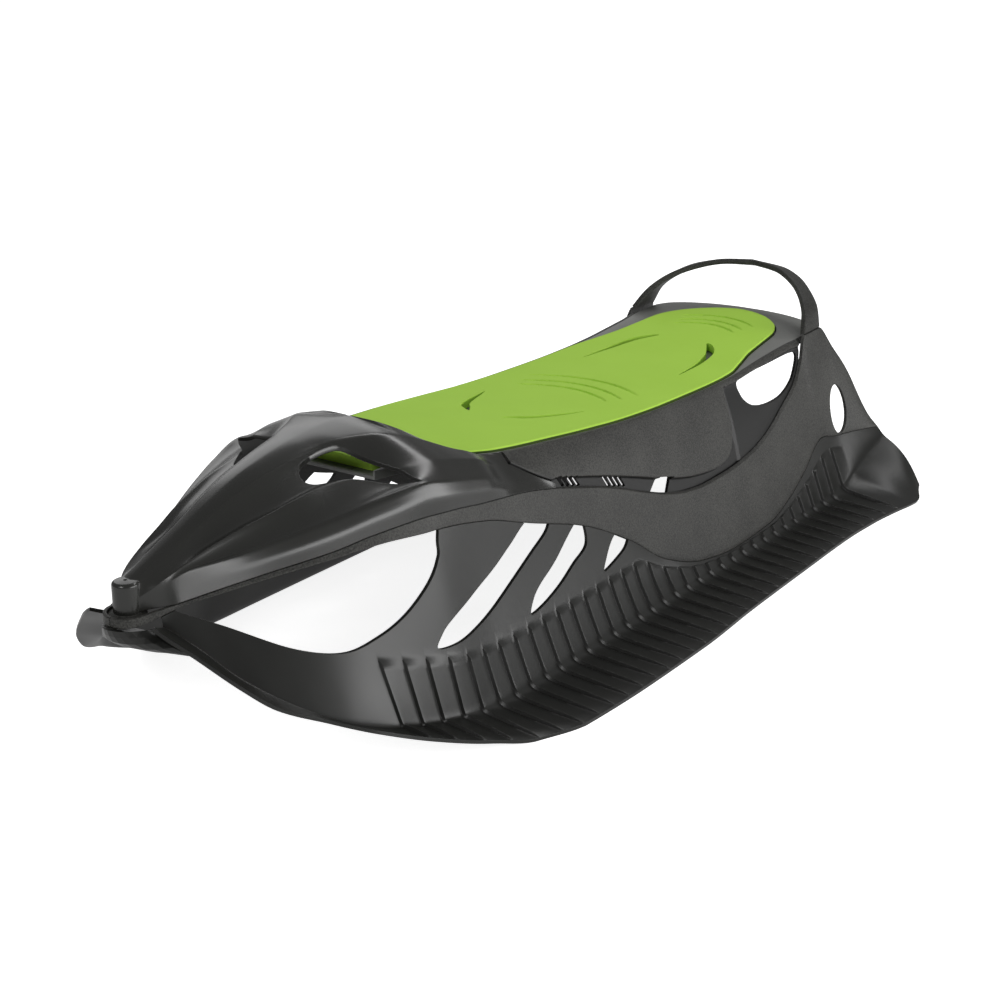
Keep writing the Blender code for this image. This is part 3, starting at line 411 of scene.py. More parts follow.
def plasticFinish(name, look, grainAndShadeMask=None):
    # moulded plastic: grain as fine bumps, cloudy gloss, slight shift of colour.
    # Where the mesh attribute named by the mask is 0, it has no grain, and its colour is times a darkening
    # factor: painted shade.
    material, tree, shader, place = newMaterial(name)
    clouds = noiseAt(tree, place, look["cloudScale"])
    grain = noiseAt(tree, place, look["grainScale"], roughness=0.6)
    tint = ((grain - 0.5) * look["speckle"] + clouds).clamped()
    colour = mixed(tree, tint, look["colour"], shaded(look["colour"], look["colourShift"]))
    if grainAndShadeMask:
        grained = nodeOf(tree, "ShaderNodeAttribute", {"attribute_name": grainAndShadeMask}, {}, "Fac")
        grain = grain * grained
        # painted shade: the colour of the recess is darkened
        colour = mixed(tree, grained, shaded(look["colour"], look["recessPaintedShade"]), colour)
    rough = (clouds * look["roughCloud"] + grain * look["roughGrain"] + look["roughness"]).clamped()
    soft = nodeOf(tree, "ShaderNodeBevel", {"samples": 4}, {"Radius": look["softEdge"]})
    height = grain * look["grainHeight"] + clouds * look["waveHeight"]
    bump = nodeOf(tree, "ShaderNodeBump", {}, {"Height": height, "Distance": 1.0, "Strength": 1.0,
                                               "Normal": soft})
    feed(tree, shader, {"Base Color": colour, "Roughness": rough, "Normal": bump,
                        "Specular IOR Level": look["specular"]})
    return material


glossLook = {
    "colour": (0.0150, 0.0152, 0.0136), "colourShift": 1.16, "speckle": 0.5,
    "roughness": 0.175, "roughCloud": 0.05, "roughGrain": 0.05,
    "cloudScale": 22.0, "grainScale": 2600.0, "grainHeight": 0.000010, "waveHeight": 0.00006,
    "softEdge": 0.0009, "specular": 0.5,
}
grainLook = {
    "colour": (0.012, 0.0119, 0.0108), "colourShift": 4.2, "speckle": 3.2,
    "roughness": 0.40, "roughCloud": 0.05, "roughGrain": 0.16,
    "cloudScale": 16.0, "grainScale": 620.0, "grainHeight": 0.00016, "waveHeight": 0.00008,
    # the last factor darkens the colour of the wall's recess as painted shade
    "softEdge": 0.0007, "specular": 0.32, "recessPaintedShade": 0.26,
}
satinLook = {
    "colour": (0.0110, 0.0112, 0.0101), "colourShift": 1.25, "speckle": 0.8,
    "roughness": 0.25, "roughCloud": 0.06, "roughGrain": 0.08,
    "cloudScale": 20.0, "grainScale": 1500.0, "grainHeight": 0.00003, "waveHeight": 0.00006,
    "softEdge": 0.0005, "specular": 0.38,
}
glossPlastic = plasticFinish("glossPlastic", glossLook)
grainPlastic = plasticFinish("grainPlastic", grainLook)
satinPlastic = plasticFinish("satinPlastic", satinLook)
# the wall's recess is smooth, and its colour is painted darker as shade
wallPlastic = plasticFinish("wallPlastic", grainLook, "grained")

foamLook = {
    # edge is the painted shade on the pad's sides, for the dark gap along the deck's rim
    "colour": (0.385, 0.655, 0.062), "paler": (0.445, 0.725, 0.090), "edge": (0.020, 0.034, 0.008),
    "patchScale": 14.0, "patchShare": 0.7, "fineScale": 900.0, "cellScale": 1500.0,
    "cellHeight": 0.00006, "cellShare": 0.6, "roughness": 0.72, "roughShift": 0.08, "specular": 0.22,
}


def foamFinish(look):
    # closed-cell foam: tiny cells, faint patches where hands have pressed it, and painted shade on its sides
    # for the dark gap along the rim
    material, tree, shader, place = newMaterial("padFoam")
    patches = noiseAt(tree, place, look["patchScale"], detail=3.0)
    cells = nodeOf(tree, "ShaderNodeTexVoronoi", {}, {"Vector": place, "Scale": look["cellScale"]},
                   "Distance")
    fine = noiseAt(tree, place, look["fineScale"])
    tint = (patches * look["patchShare"] + fine * (1 - look["patchShare"])).clamped()
    cutEdge = nodeOf(tree, "ShaderNodeAttribute", {"attribute_name": "cutEdge"}, {}, "Fac")
    # the pad's sides take the edge colour: painted shade of the gap at the rim
    colour = mixed(tree, cutEdge, mixed(tree, tint, look["colour"], look["paler"]), look["edge"])
    rough = ((patches + cells) * look["roughShift"] + look["roughness"]).clamped()
    height = (cells * look["cellShare"] + fine * (1 - look["cellShare"])) * look["cellHeight"]
    bump = nodeOf(tree, "ShaderNodeBump", {}, {"Height": height, "Distance": 1.0, "Strength": 1.0})
    feed(tree, shader, {"Base Color": colour, "Roughness": rough, "Normal": bump,
                        "Specular IOR Level": look["specular"]})
    return material


screwLook = {
    "colour": (0.52, 0.52, 0.53), "yellowed": (0.62, 0.60, 0.52), "patchScale": 300.0,
    "scratchScale": 900.0, "scratchStretch": (1, 8, 1), "scratchHeight": 0.00002,
    "roughness": 0.22, "roughScratch": 0.25, "metallic": 1.0,
}


def screwFinish(look):
    # zinc plated steel: scratches in roughness and relief, faint yellow passivation in patches
    material, tree, shader, place = newMaterial("screwZinc")
    patches = noiseAt(tree, place, look["patchScale"], detail=3.0)
    scratches = noiseAt(tree, place, look["scratchScale"], detail=3.0, roughness=0.6,
                        stretch=look["scratchStretch"])
    colour = mixed(tree, patches, look["colour"], look["yellowed"])
    rough = scratches * look["roughScratch"] + look["roughness"]
    bump = nodeOf(tree, "ShaderNodeBump", {}, {"Height": scratches * look["scratchHeight"], "Distance": 1.0})
    feed(tree, shader, {"Base Color": colour, "Roughness": rough, "Normal": bump,
                        "Metallic": look["metallic"]})
    return material


padFoam = foamFinish(foamLook)
screwZinc = screwFinish(screwLook)
print("finishes made")


# shared lines of the right half, as (station, half width, height); the deck's outline has no height
bandLow = [(0.000, 0.022, 0.163), (0.036, 0.038, 0.1735), (0.075, 0.055, 0.178),
           (0.107, 0.070, 0.182), (0.171, 0.099, 0.188), (0.223, 0.119, 0.192),
           (0.276, 0.133, 0.190), (0.360, 0.137, 0.176), (0.430, 0.143, 0.153),
           (0.520, 0.151, 0.124), (0.600, 0.160, 0.084), (0.660, 0.171, 0.045),
           (0.730, 0.180, 0.023), (0.800, 0.183, 0.0165), (0.890, 0.182, 0.020),
           (0.950, 0.177, 0.033), (1.000, 0.171, 0.052), (1.064, 0.163, 0.080),
           (1.100, 0.168, 0.074), (1.165, 0.193, 0.074)]
bandHigh = [(0.000, 0.022, 0.172), (0.048, 0.041, 0.178), (0.110, 0.068, 0.186),
            (0.175, 0.097, 0.194), (0.211, 0.110, 0.200), (0.266, 0.126, 0.204),
            (0.310, 0.132, 0.201), (0.357, 0.133, 0.194), (0.430, 0.135, 0.185),
            (0.480, 0.137, 0.175), (0.535, 0.140, 0.162), (0.590, 0.144, 0.146),
            (0.646, 0.149, 0.126), (0.686, 0.153, 0.113), (0.730, 0.155, 0.103),
            (0.780, 0.156, 0.099), (0.830, 0.156, 0.100), (0.890, 0.154, 0.106),
            (0.936, 0.151, 0.117), (0.984, 0.146, 0.138), (1.022, 0.141, 0.156),
            (1.050, 0.134, 0.182), (1.0665, 0.129, 0.2105), (1.113, 0.1275, 0.2105),
            (1.130, 0.138, 0.183), (1.145, 0.149, 0.157), (1.157, 0.159, 0.128),
            (1.165, 0.167, 0.098)]
padEdge = [(0.300, 0.050, 0.2360), (0.340, 0.062, 0.2350), (0.380, 0.075, 0.2305),
           (0.405, 0.086, 0.2275), (0.430, 0.0975, 0.2255), (0.460, 0.102, 0.2225),
           (0.500, 0.106, 0.2188), (0.580, 0.111, 0.2107), (0.660, 0.1135, 0.2035),
           (0.740, 0.1145, 0.1993), (0.860, 0.1145, 0.1968), (0.900, 0.113, 0.1973),
           (0.940, 0.105, 0.1994), (0.980, 0.096, 0.2022), (1.020, 0.091, 0.2048),
           (1.060, 0.086, 0.2072), (1.093, 0.073, 0.2080), (1.117, 0.053, 0.2085),
           (1.130, 0.034, 0.2090), (1.139, 0.012, 0.2090)]
deckOutline = [(0.288, 0.0540), (0.380, 0.0780), (0.405, 0.0890), (0.433, 0.1014),
               (0.460, 0.1055), (0.500, 0.1090), (0.580, 0.1140), (0.660, 0.1165),
               (0.740, 0.1175), (0.860, 0.1175), (0.900, 0.1170), (0.960, 0.1150),
               (1.020, 0.1155), (1.070, 0.1185), (1.110, 0.1190), (1.128, 0.1100),
               (1.143, 0.0930), (1.154, 0.0700), (1.161, 0.0450), (1.165, 0.0150)]
bendLine = [(0.014, 0.029, 0.158), (0.017, 0.033, 0.155), (0.030, 0.058, 0.137),
            (0.045, 0.085, 0.113), (0.065, 0.115, 0.092), (0.098, 0.145, 0.068),
            (0.130, 0.160, 0.050), (0.180, 0.168, 0.030), (0.230, 0.177, 0.018),
            (0.280, 0.185, 0.012), (0.380, 0.188, 0.010), (1.000, 0.188, 0.010),
            (1.060, 0.189, 0.014), (1.110, 0.194, 0.032), (1.165, 0.205, 0.060)]


# hood

hood = {
    # side to flankTop: station, half width, height
    "side": [(0.000, 0.0112, 0.178), (0.020, 0.024, 0.192), (0.045, 0.034, 0.203),
             (0.100, 0.056, 0.209), (0.184, 0.091, 0.223), (0.230, 0.107, 0.231),
             (0.278, 0.121, 0.237), (0.310, 0.1255, 0.231), (0.360, 0.128, 0.2195),
             (0.420, 0.131, 0.2035)],
    "ridge": [(0.000, 0.0112, 0.184), (0.020, 0.0235, 0.1975), (0.050, 0.031, 0.210),
              (0.080, 0.037, 0.220), (0.110, 0.045, 0.228), (0.140, 0.052, 0.234),
              (0.170, 0.058, 0.240), (0.200, 0.062, 0.2435), (0.230, 0.070, 0.2447),
              (0.260, 0.084, 0.2430), (0.285, 0.098, 0.2460), (0.310, 0.104, 0.2465),
              (0.340, 0.108, 0.2410), (0.380, 0.113, 0.2310), (0.420, 0.120, 0.2185)],
    "crest": [(0.000, 0.0100, 0.1975), (0.020, 0.011, 0.204), (0.050, 0.012, 0.216),
              (0.080, 0.013, 0.228), (0.110, 0.015, 0.240), (0.140, 0.018, 0.250),
              (0.170, 0.021, 0.258), (0.200, 0.024, 0.264), (0.230, 0.028, 0.268),
              (0.260, 0.038, 0.2705), (0.290, 0.052, 0.2700), (0.316, 0.066, 0.2645),
              (0.340, 0.078, 0.2545), (0.370, 0.092, 0.2405), (0.400, 0.102, 0.2305),
              (0.420, 0.108, 0.2205)],
    "top": [(0.000, 0.0, 0.2000), (0.050, 0.0, 0.2195), (0.110, 0.0, 0.2435),
            (0.170, 0.0, 0.2620), (0.230, 0.0, 0.2720), (0.290, 0.0, 0.2755),
            (0.314, 0.0, 0.2740), (0.318, 0.025, 0.2725), (0.325, 0.045, 0.2680),
            (0.335, 0.060, 0.2605), (0.355, 0.0745, 0.2455), (0.375, 0.0845, 0.2335),
            (0.400, 0.0940, 0.2265), (0.4310, 0.1045, 0.2225)],
    "flankTop": [(0.4325, 0.1140, 0.2110), (0.460, 0.1285, 0.1930), (0.485, 0.1366, 0.1795)],
    "archFront": 0.314,
    "spans": [(0.0, 0.03, 0.0015), (0.03, 0.30, 0.004), (0.30, 0.345, 0.0015), (0.345, 0.431, 0.003),
              (0.431, 0.4325, 0.0005), (0.4325, 0.485, 0.003)],
    "drop": (0.4295, 0.434),            # where the edge steps down beside the pad; normals turn evenly there
    # half width, station
    "handOpening": [(0.030, 0.218), (0.033, 0.238), (0.040, 0.2535), (0.055, 0.2640), (0.076, 0.2730),
                    (0.099, 0.2790), (0.118, 0.2810), (0.108, 0.2690), (0.092, 0.2560), (0.077, 0.2400),
                    (0.064, 0.2200), (0.052, 0.2010), (0.040, 0.1960), (0.031, 0.2030)],
    "cutHeights": (0.205, 0.300),
    "noseSpread": 0.032,                # station from which the hood's foot lies on the band
    "flank": (0.375, 0.430), "flankShares": (0.40, 0.68, 0.88),
    "sideRows": [5, 5], "ridgeRows": 10, "crestRows": 14, "topRows": 9,
    "crestPasses": 1, "crowding": 0.72, "sharp": 42,
    "belly": 0.0025, "bellyRise": (0.05, 0.15), "bellyFall": (0.40, 0.43),
    "lowHollow": 0.0048, "highHollow": 0.0074, "hollowRise": (0.02, 0.09), "hollowFall": (0.25, 0.31),
    "crown": 0.0008, "crownFall": (0.30, 0.33),
    "postRadius": 0.0128, "postFoot": 0.162, "postSide": 0.180, "postTop": 0.2008, "postRoll": 0.0034,
    "postPeak": 0.0005, "postSegments": 48, "cordHole": 0.0018,
}


def hoodRows(stations, crowding):
    # rows from the band's upper edge over side, ridge and crest to the middle
    low = lineOf(bandHigh, stations)
    low[:, 0] -= (sled["ringRadius"] - sled["noseRadius"]) * (1 - ease(0.0, hood["noseSpread"], stations))
    low[:, 2] += sled["seam"]
    behindDrop = stations > hood["top"][-1][0]
    top = np.where(behindDrop[:, None], lineOf(hood["flankTop"], stations), lineOf(hood["top"], stations))
    flank = ease(*hood["flank"], stations)
    side, ridge, crest = (blendRows(lineOf(hood[name], stations), blendRows(low, top, share), flank)
                          for name, share in zip(("side", "ridge", "crest"), hood["flankShares"]))
    hollow = between(hood["hollowRise"], hood["hollowFall"], stations)
    belly = blendRows(low, side, 0.5)
    belly[:, 0] += hood["belly"] * between(hood["bellyRise"], hood["bellyFall"], stations)
    crown = hood["crown"] * (1 - ease(*hood["crownFall"], stations))
    return np.concatenate([acrossRows([low, belly, side], hood["sideRows"]),
                           bowed(side, ridge, hood["ridgeRows"], hood["lowHollow"] * hollow, crowding),
                           bowed(ridge, crest, hood["crestRows"], hood["highHollow"] * hollow, crowding),
                           bowed(crest, top, hood["topRows"], -crown, crowding)])


def hoodPiece():
    # outer grid, and an inner one a wall's thickness along its normals; then the mirror image of both.
    # The outer face has crisp crests; the inner one follows even rows, which don't fold over themselves
    stations = spaced(*hood["spans"])
    whole = stations < hood["archFront"] + sled["tolerance"]
    right = rounded(hoodRows(stations, hood["crowding"]), hood["crestPasses"], whole)
    plain = rounded(hoodRows(stations, 0), hood["crestPasses"], whole)
    normal = normalsOf(plain)
    normal[-1, whole, 0] = 0
    dropStart, dropEnd = hood["drop"]
    first, last = np.flatnonzero((stations > dropStart) & (stations < dropEnd))[[0, -1]]
    share = np.linspace(0, 1, last - first + 1)[None, :, None]
    before, after = normal[:, first - 1:first], normal[:, last + 1:last + 2]
    normal[:, first:last + 1] = before * (1 - share) + after * share
    normal = unit(normal)
    normal[0] = squared(normal[0], stations)
    flank = stations > hood["top"][-1][0]
    normal[-1, flank] = squared(normal[-1, flank], stations[flank])
    inner = plain - sled["wall"] * normal
    rowCount, columnCount = right.shape[:2]
    points = np.concatenate([right.reshape(-1, 3), inner.reshape(-1, 3)])
    quads = np.concatenate([gridQuads(rowCount, columnCount),
                            gridQuads(rowCount, columnCount, rowCount * columnCount)[:, ::-1],
                            borderQuads(rowCount, columnCount, int(whole.sum()) - 1)])
    both = np.concatenate([points, points * [-1, 1, 1]])
    piece = meshPiece("hoodShell", both, np.concatenate([quads, quads[:, ::-1] + len(points)]), weld=True)
    boolean(piece, nosePost(), "UNION")
    outline = smoothOutline(hood["handOpening"])
    cutThrough(piece, [outline, outline * [-1, 1]], "z", *hood["cutHeights"])
    finishPiece(piece, ["hood"], glossPlastic, hood["sharp"])


def nosePost():
    # profile (radius, height) turned about the nose's axis, with the small bore for a cord
    radius, bore, top, roll = hood["postRadius"], hood["cordHole"], hood["postTop"], hood["postRoll"]
    profile = [(bore, hood["postFoot"]), (radius, hood["postFoot"]), (radius, hood["postSide"])]
    turn = np.linspace(0, pi / 2, sled["roundPoints"])
    profile += [(radius - roll + roll * cos(a), top - roll + roll * sin(a)) for a in turn]
    profile.append((bore, top + hood["postPeak"]))
    return turnedPiece("nosePost", np.array(profile), hood["postSegments"])


def turnedPiece(name, profile, segments):
    # point (r cos a, r sin a, z) for each profile pair and angle; the profile is a closed ring
    angle = (np.arange(segments) * 2 * pi / segments)[:, None]
    radius, height = profile[None, :, 0], profile[None, :, 1]
    points = np.stack([radius * np.cos(angle), radius * np.sin(angle), height + 0 * angle], axis=-1)
    at = np.arange(segments * len(profile)).reshape(segments, len(profile))
    nextAngle = np.roll(at, -1, axis=0)
    nextCorner = np.roll(at, -1, axis=1)
    both = np.roll(nextAngle, -1, axis=1)
    quads = np.stack([at, nextAngle, both, nextCorner], axis=-1).reshape(-1, 4)
    return meshPiece(name, points.reshape(-1, 3), quads)


hoodPiece()
print("hood made")


# runners

runner = {
    # place on the bend, and the half width, station and height of the edge that belongs to it
    "edge": [(0.014, 0.040, -0.008, 0.168), (0.017, 0.048, -0.006, 0.163),
             (0.030, 0.072, 0.008, 0.144), (0.045, 0.104, 0.030, 0.114),
             (0.065, 0.127, 0.058, 0.086), (0.098, 0.153, 0.098, 0.065),
             (0.130, 0.181, 0.131, 0.050), (0.180, 0.208, 0.180, 0.030),
             (0.230, 0.233, 0.233, 0.013), (0.280, 0.258, 0.282, 0.0035),
             (0.335, 0.276, 0.335, 0.0035), (0.450, 0.280, 0.450, 0.0035),
             (0.560, 0.279, 0.560, 0.0035), (0.680, 0.272, 0.680, 0.0035),
             (0.810, 0.267, 0.810, 0.0035), (0.950, 0.263, 0.950, 0.0035),
             (1.005, 0.265, 1.005, 0.0035), (1.057, 0.271, 1.060, 0.0035),
             (1.110, 0.279, 1.112, 0.0035), (1.165, 0.266, 1.165, 0.012)],
    # station, height
    "ribTop": [(0.150, 0.100), (0.228, 0.080), (0.289, 0.066), (0.350, 0.059), (0.700, 0.058),
               (1.165, 0.090)],
    "reachLimits": (0.25, 0.8), "shoulder": (0.012, 0.02), "bendStart": 0.9,     # shares of the wall's height
    "hollow": 0.006, "hollowRise": (0.25, 0.34), "hollowFall": (0.60, 0.70),
    "stepPitch": 0.0263, "stepHeight": 0.0034, "firstStep": 0.177, "lastStep": 1.085,
    "stepPhases": [0.0, 0.020, 0.045, 0.063, 0.090, 0.16, 0.35, 0.60, 0.85],   # places in a step, in pitches
    "stepLifts": [0.0, 0.12, 0.88, 1.00, 1.00, 0.93, 0.72, 0.43, 0.16],        # their lifts, in step heights
    "noseSpan": (0.014, 0.050, 0.002), "frontSpacing": 0.004, "treadGap": 0.003, "tailSpacing": 0.003,
    "ledgeShares": (0.10, 0.5, 0.86, 0.97, 1.0), "ledgeSweep": -0.006,
    "sweepRise": (0.13, 0.22), "sweepEnd": 1.09,
    "ledge": 0.0035, "ledgeRise": (0.24, 0.33), "ledgeFall": (1.02, 1.12), "bendLift": 0.002,
    "tailLift": 0.013, "tailFrom": 1.06, "lipPull": 0.020, "lipFrom": 1.100,
    "rowCounts": [3, 3, 3, 3, 1, 1, 3, 4, 4, 4, 5, 5, 2, 1],                   # from each line to the next
    "rowLifts": [0, 0, 0, 0, 0, 0.15, 1, 1, 1, 1, 1, 0.95, 0.55, 0.15, 0],     # share of the tread on each
    "ledgeCounts": 4, "bowl": (1.075, 1.140), "passes": 3, "bowlPasses": 60,
    "sole": (0.335, 1.02), "lowest": 0.0003, "openingStart": 0.020, "slotStart": 0.100, "sharp": 40,
    # openings: station, height
    "frontOpening": [(0.017, 0.180), (0.060, 0.150), (0.105, 0.122), (0.150, 0.108), (0.190, 0.112),
                     (0.225, 0.124), (0.254, 0.142), (0.274, 0.160), (0.281, 0.175), (0.278, 0.215),
                     (0.150, 0.215), (0.040, 0.205)],
    "slotOne": [(0.426, 0.158), (0.459, 0.152), (0.455, 0.138), (0.424, 0.123), (0.381, 0.105),
                (0.338, 0.089), (0.305, 0.082), (0.277, 0.080), (0.249, 0.083), (0.255, 0.093),
                (0.272, 0.103), (0.314, 0.114), (0.356, 0.127), (0.391, 0.142)],
    "slotTwo": [(0.506, 0.133), (0.518, 0.130), (0.520, 0.104), (0.492, 0.091), (0.460, 0.078),
                (0.425, 0.069), (0.400, 0.067), (0.409, 0.079), (0.425, 0.089), (0.462, 0.105)],
    "slotThree": [(0.574, 0.100), (0.597, 0.095), (0.592, 0.080), (0.572, 0.072), (0.543, 0.067),
                  (0.550, 0.078)],
}


def runnerStations():
    # nine places for each step of the tread, close together at its riser
    pitch = runner["stepPitch"]
    feet = np.arange(runner["firstStep"], runner["lastStep"], pitch)
    bend = (runner["noseSpan"][1], runner["firstStep"] - runner["treadGap"], runner["frontSpacing"])
    front = spaced(runner["noseSpan"], bend)
    tail = spaced((feet[-1] + pitch, sled["tail"], runner["tailSpacing"]))
    steps = feet[:, None] + np.array(runner["stepPhases"]) * pitch
    stations = np.concatenate([front, steps.ravel(), tail])
    raised = np.concatenate([0 * front, np.tile(runner["stepLifts"], len(feet)), 0 * tail])
    return stations, raised


def runnerLines(stations, sweep):
    # lines of the smooth surface from the seam to the edge; sweep shifts those of the ledge along the sled.
    # On the wall: low + share (bend - low), drawn in by hollow * 4 share (1 - share).
    # On the ledge: bend + share (edge - bend)
    low, bend = lineOf(bandLow, stations), lineOf(bendLine, stations)
    drop = np.linalg.norm(bend - low, axis=1)
    ribDepth = low[:, 2] - through(runner["ribTop"], stations, 1)
    reach = np.clip(ribDepth / (low[:, 2] - bend[:, 2]), *runner["reachLimits"])
    hollow = runner["hollow"] * between(runner["hollowRise"], runner["hollowFall"], stations)
    above, below = runner["shoulder"]
    bendStart = runner["bendStart"] + 0 * reach
    rows = []
    for share in (sled["seam"] / drop, 0.25 * reach, 0.5 * reach, 0.75 * reach, reach - above, reach,
                  reach + below, 0.5 * (reach + bendStart), bendStart, 1 + 0 * reach):
        row = blendRows(low, bend, share)
        row[:, 0] -= hollow * 4 * share * (1 - share)
        rows.append(row)
    for share in runner["ledgeShares"]:
        moved = stations + runner["ledgeSweep"] * share * sweep
        bend = lineOf(bendLine, moved)
        edge = np.stack([through(runner["edge"], moved, column) for column in (1, 2, 3)], axis=-1)
        row = blendRows(bend, edge, share)
        level = between(runner["ledgeRise"], runner["ledgeFall"], moved)
        height = runner["ledge"] + runner["bendLift"] * (1 - share) ** 3
        row[:, 2] = row[:, 2] * (1 - level) + level * height
        lift = runner["tailLift"] * ease(runner["tailFrom"], sled["tail"], moved)
        row[:, 2] += lift * 4 * share * (1 - share)
        corner = max(share - 0.5, 0) / 0.5         # the tail's lip ends in a quarter circle
        pull = runner["lipPull"] * (1 - np.sqrt(1 - corner ** 2))
        row[:, 1] -= pull * ease(runner["lipFrom"], sled["tail"], moved)
        rows.append(row)
    return rows


def runnerPiece(word, side):
    # outer grid: smooth surface + lift * stepHeight * normal; the inner one lies a wall's thickness inside
    stations, raised = runnerStations()
    rows = runnerLines(stations, between(runner["sweepRise"], (runner["sweepEnd"], sled["tail"]), stations))
    counts, lifts = runner["rowCounts"], runner["rowLifts"]
    share = [lifts[:1]]
    for start, end, count in zip(lifts, lifts[1:], counts):
        share.append(np.linspace(start, end, count + 1)[1:])
    share = np.concatenate(share)[::-1]
    crisp = acrossRows(rows, counts)
    bowl = ease(*runner["bowl"], stations)[:, None]
    smooth = rounded(crisp, runner["passes"]) * (1 - bowl) + rounded(crisp, runner["bowlPasses"]) * bowl
    base = smooth[::-1]
    normal = normalsOf(base)
    outer = base + (share[:, None] * raised[None, :] * runner["stepHeight"])[..., None] * normal
    normal[-1] = squared(normal[-1], stations)
    inner = base - sled["wall"] * normal
    inner[..., 2] = np.maximum(inner[..., 2], runner["lowest"])
    ledge = sum(counts[-runner["ledgeCounts"]:])   # under these rows the runner is solid down to the snow
    soleStart, soleEnd = runner["sole"]
    sole = (stations > soleStart) & (stations < soleEnd)
    inner[:ledge, sole] = base[:ledge, sole] * [1, 1, 0]
    piece = solidBetween("runner" + word.capitalize(), sided(outer, side), sided(inner, side))
    cutSide(piece, [smoothOutline(runner["frontOpening"])], side, runner["openingStart"])
    slots = [smoothOutline(runner[name]) for name in ("slotOne", "slotTwo", "slotThree")]
    cutSide(piece, slots, side, runner["slotStart"])
    finishPiece(piece, ["runner_" + word], satinPlastic, runner["sharp"])


for word, side in (("right", 1), ("left", -1)):
    runnerPiece(word, side)
print("runners made")


# side bands

band = {
    "ringAngles": (1, 84), "ringCuts": 16, "spans": [(0.0, 1.03, 0.005), (1.03, 1.165, 0.0025)],
    "rowCounts": [1, 1, 5, 5, 5, 2, 1], "sharp": 40,
    "upperRoll": 0.0020, "lowerRoll": 0.0007, "rollRise": (0.48, 0.52),
    "rollIn": 0.4, "rollDeep": 0.3,     # place and depth of a rolled edge's second row, in rolls
    "legSlot": (1.110, 0.106), "legSlotHalf": (0.0150, 0.0310), "legSlotLean": -12,      # degrees
    "slotCorners": 48, "slotStart": 0.100,
}


def bandPiece(word, side):
    # low + share (high - low), round the nose ring by angle and then by station; both edges roll inwards
    around = -sled["ringRadius"] * np.cos(np.radians(np.linspace(*band["ringAngles"], band["ringCuts"])))
    along = spaced(*band["spans"])

    def edgeLine(keys):
        front = np.stack([np.sqrt(sled["ringRadius"] ** 2 - around ** 2), around,
                          np.full(len(around), keys[0][2])], axis=-1)
        return np.concatenate([front, lineOf(keys, along)])

    low, high = edgeLine(bandLow), edgeLine(bandHigh)
    stations = low[:, 1]
    height = np.linalg.norm(high - low, axis=1)
    lowerRoll, second, deep = band["lowerRoll"], band["rollIn"], band["rollDeep"]
    upperRoll = band["upperRoll"] * ease(*band["rollRise"], stations) + lowerRoll
    shares = [0 * height, lowerRoll * second / height, lowerRoll / height, 0.33 + 0 * height,
              0.66 + 0 * height, 1 - upperRoll / height, 1 - second * upperRoll / height, 1 + 0 * height]
    grid = acrossRows([blendRows(low, high, share) for share in shares], band["rowCounts"])
    normal = normalsOf(grid)
    inner = grid - sled["wall"] * normal
    for edge in (0, -1):
        inner[edge] = grid[edge] - sled["wall"] * squared(normal[edge], stations)
    upperPull = upperRoll[:, None]
    for row, pull in ((0, lowerRoll), (1, deep * lowerRoll), (-1, upperPull), (-2, deep * upperPull)):
        grid[row] -= pull * normal[row]
    piece = solidBetween("band" + word.capitalize(), sided(grid, side), sided(inner, side))
    angle = np.arange(band["slotCorners"]) * 2 * pi / band["slotCorners"]
    lean = radians(band["legSlotLean"])
    x, z = band["legSlotHalf"][0] * np.cos(angle), band["legSlotHalf"][1] * np.sin(angle)
    outline = np.stack([band["legSlot"][0] + x * cos(lean) - z * sin(lean),
                        band["legSlot"][1] + x * sin(lean) + z * cos(lean)], axis=-1)
    cutSide(piece, [outline], side, band["slotStart"])
    nodes = ["side_band_" + word, "rear_leg_" + word]
    finishPiece(piece, nodes, grainPlastic, band["sharp"])


for word, side in (("right", 1), ("left", -1)):
    bandPiece(word, side)
print("bands made")


# side walls

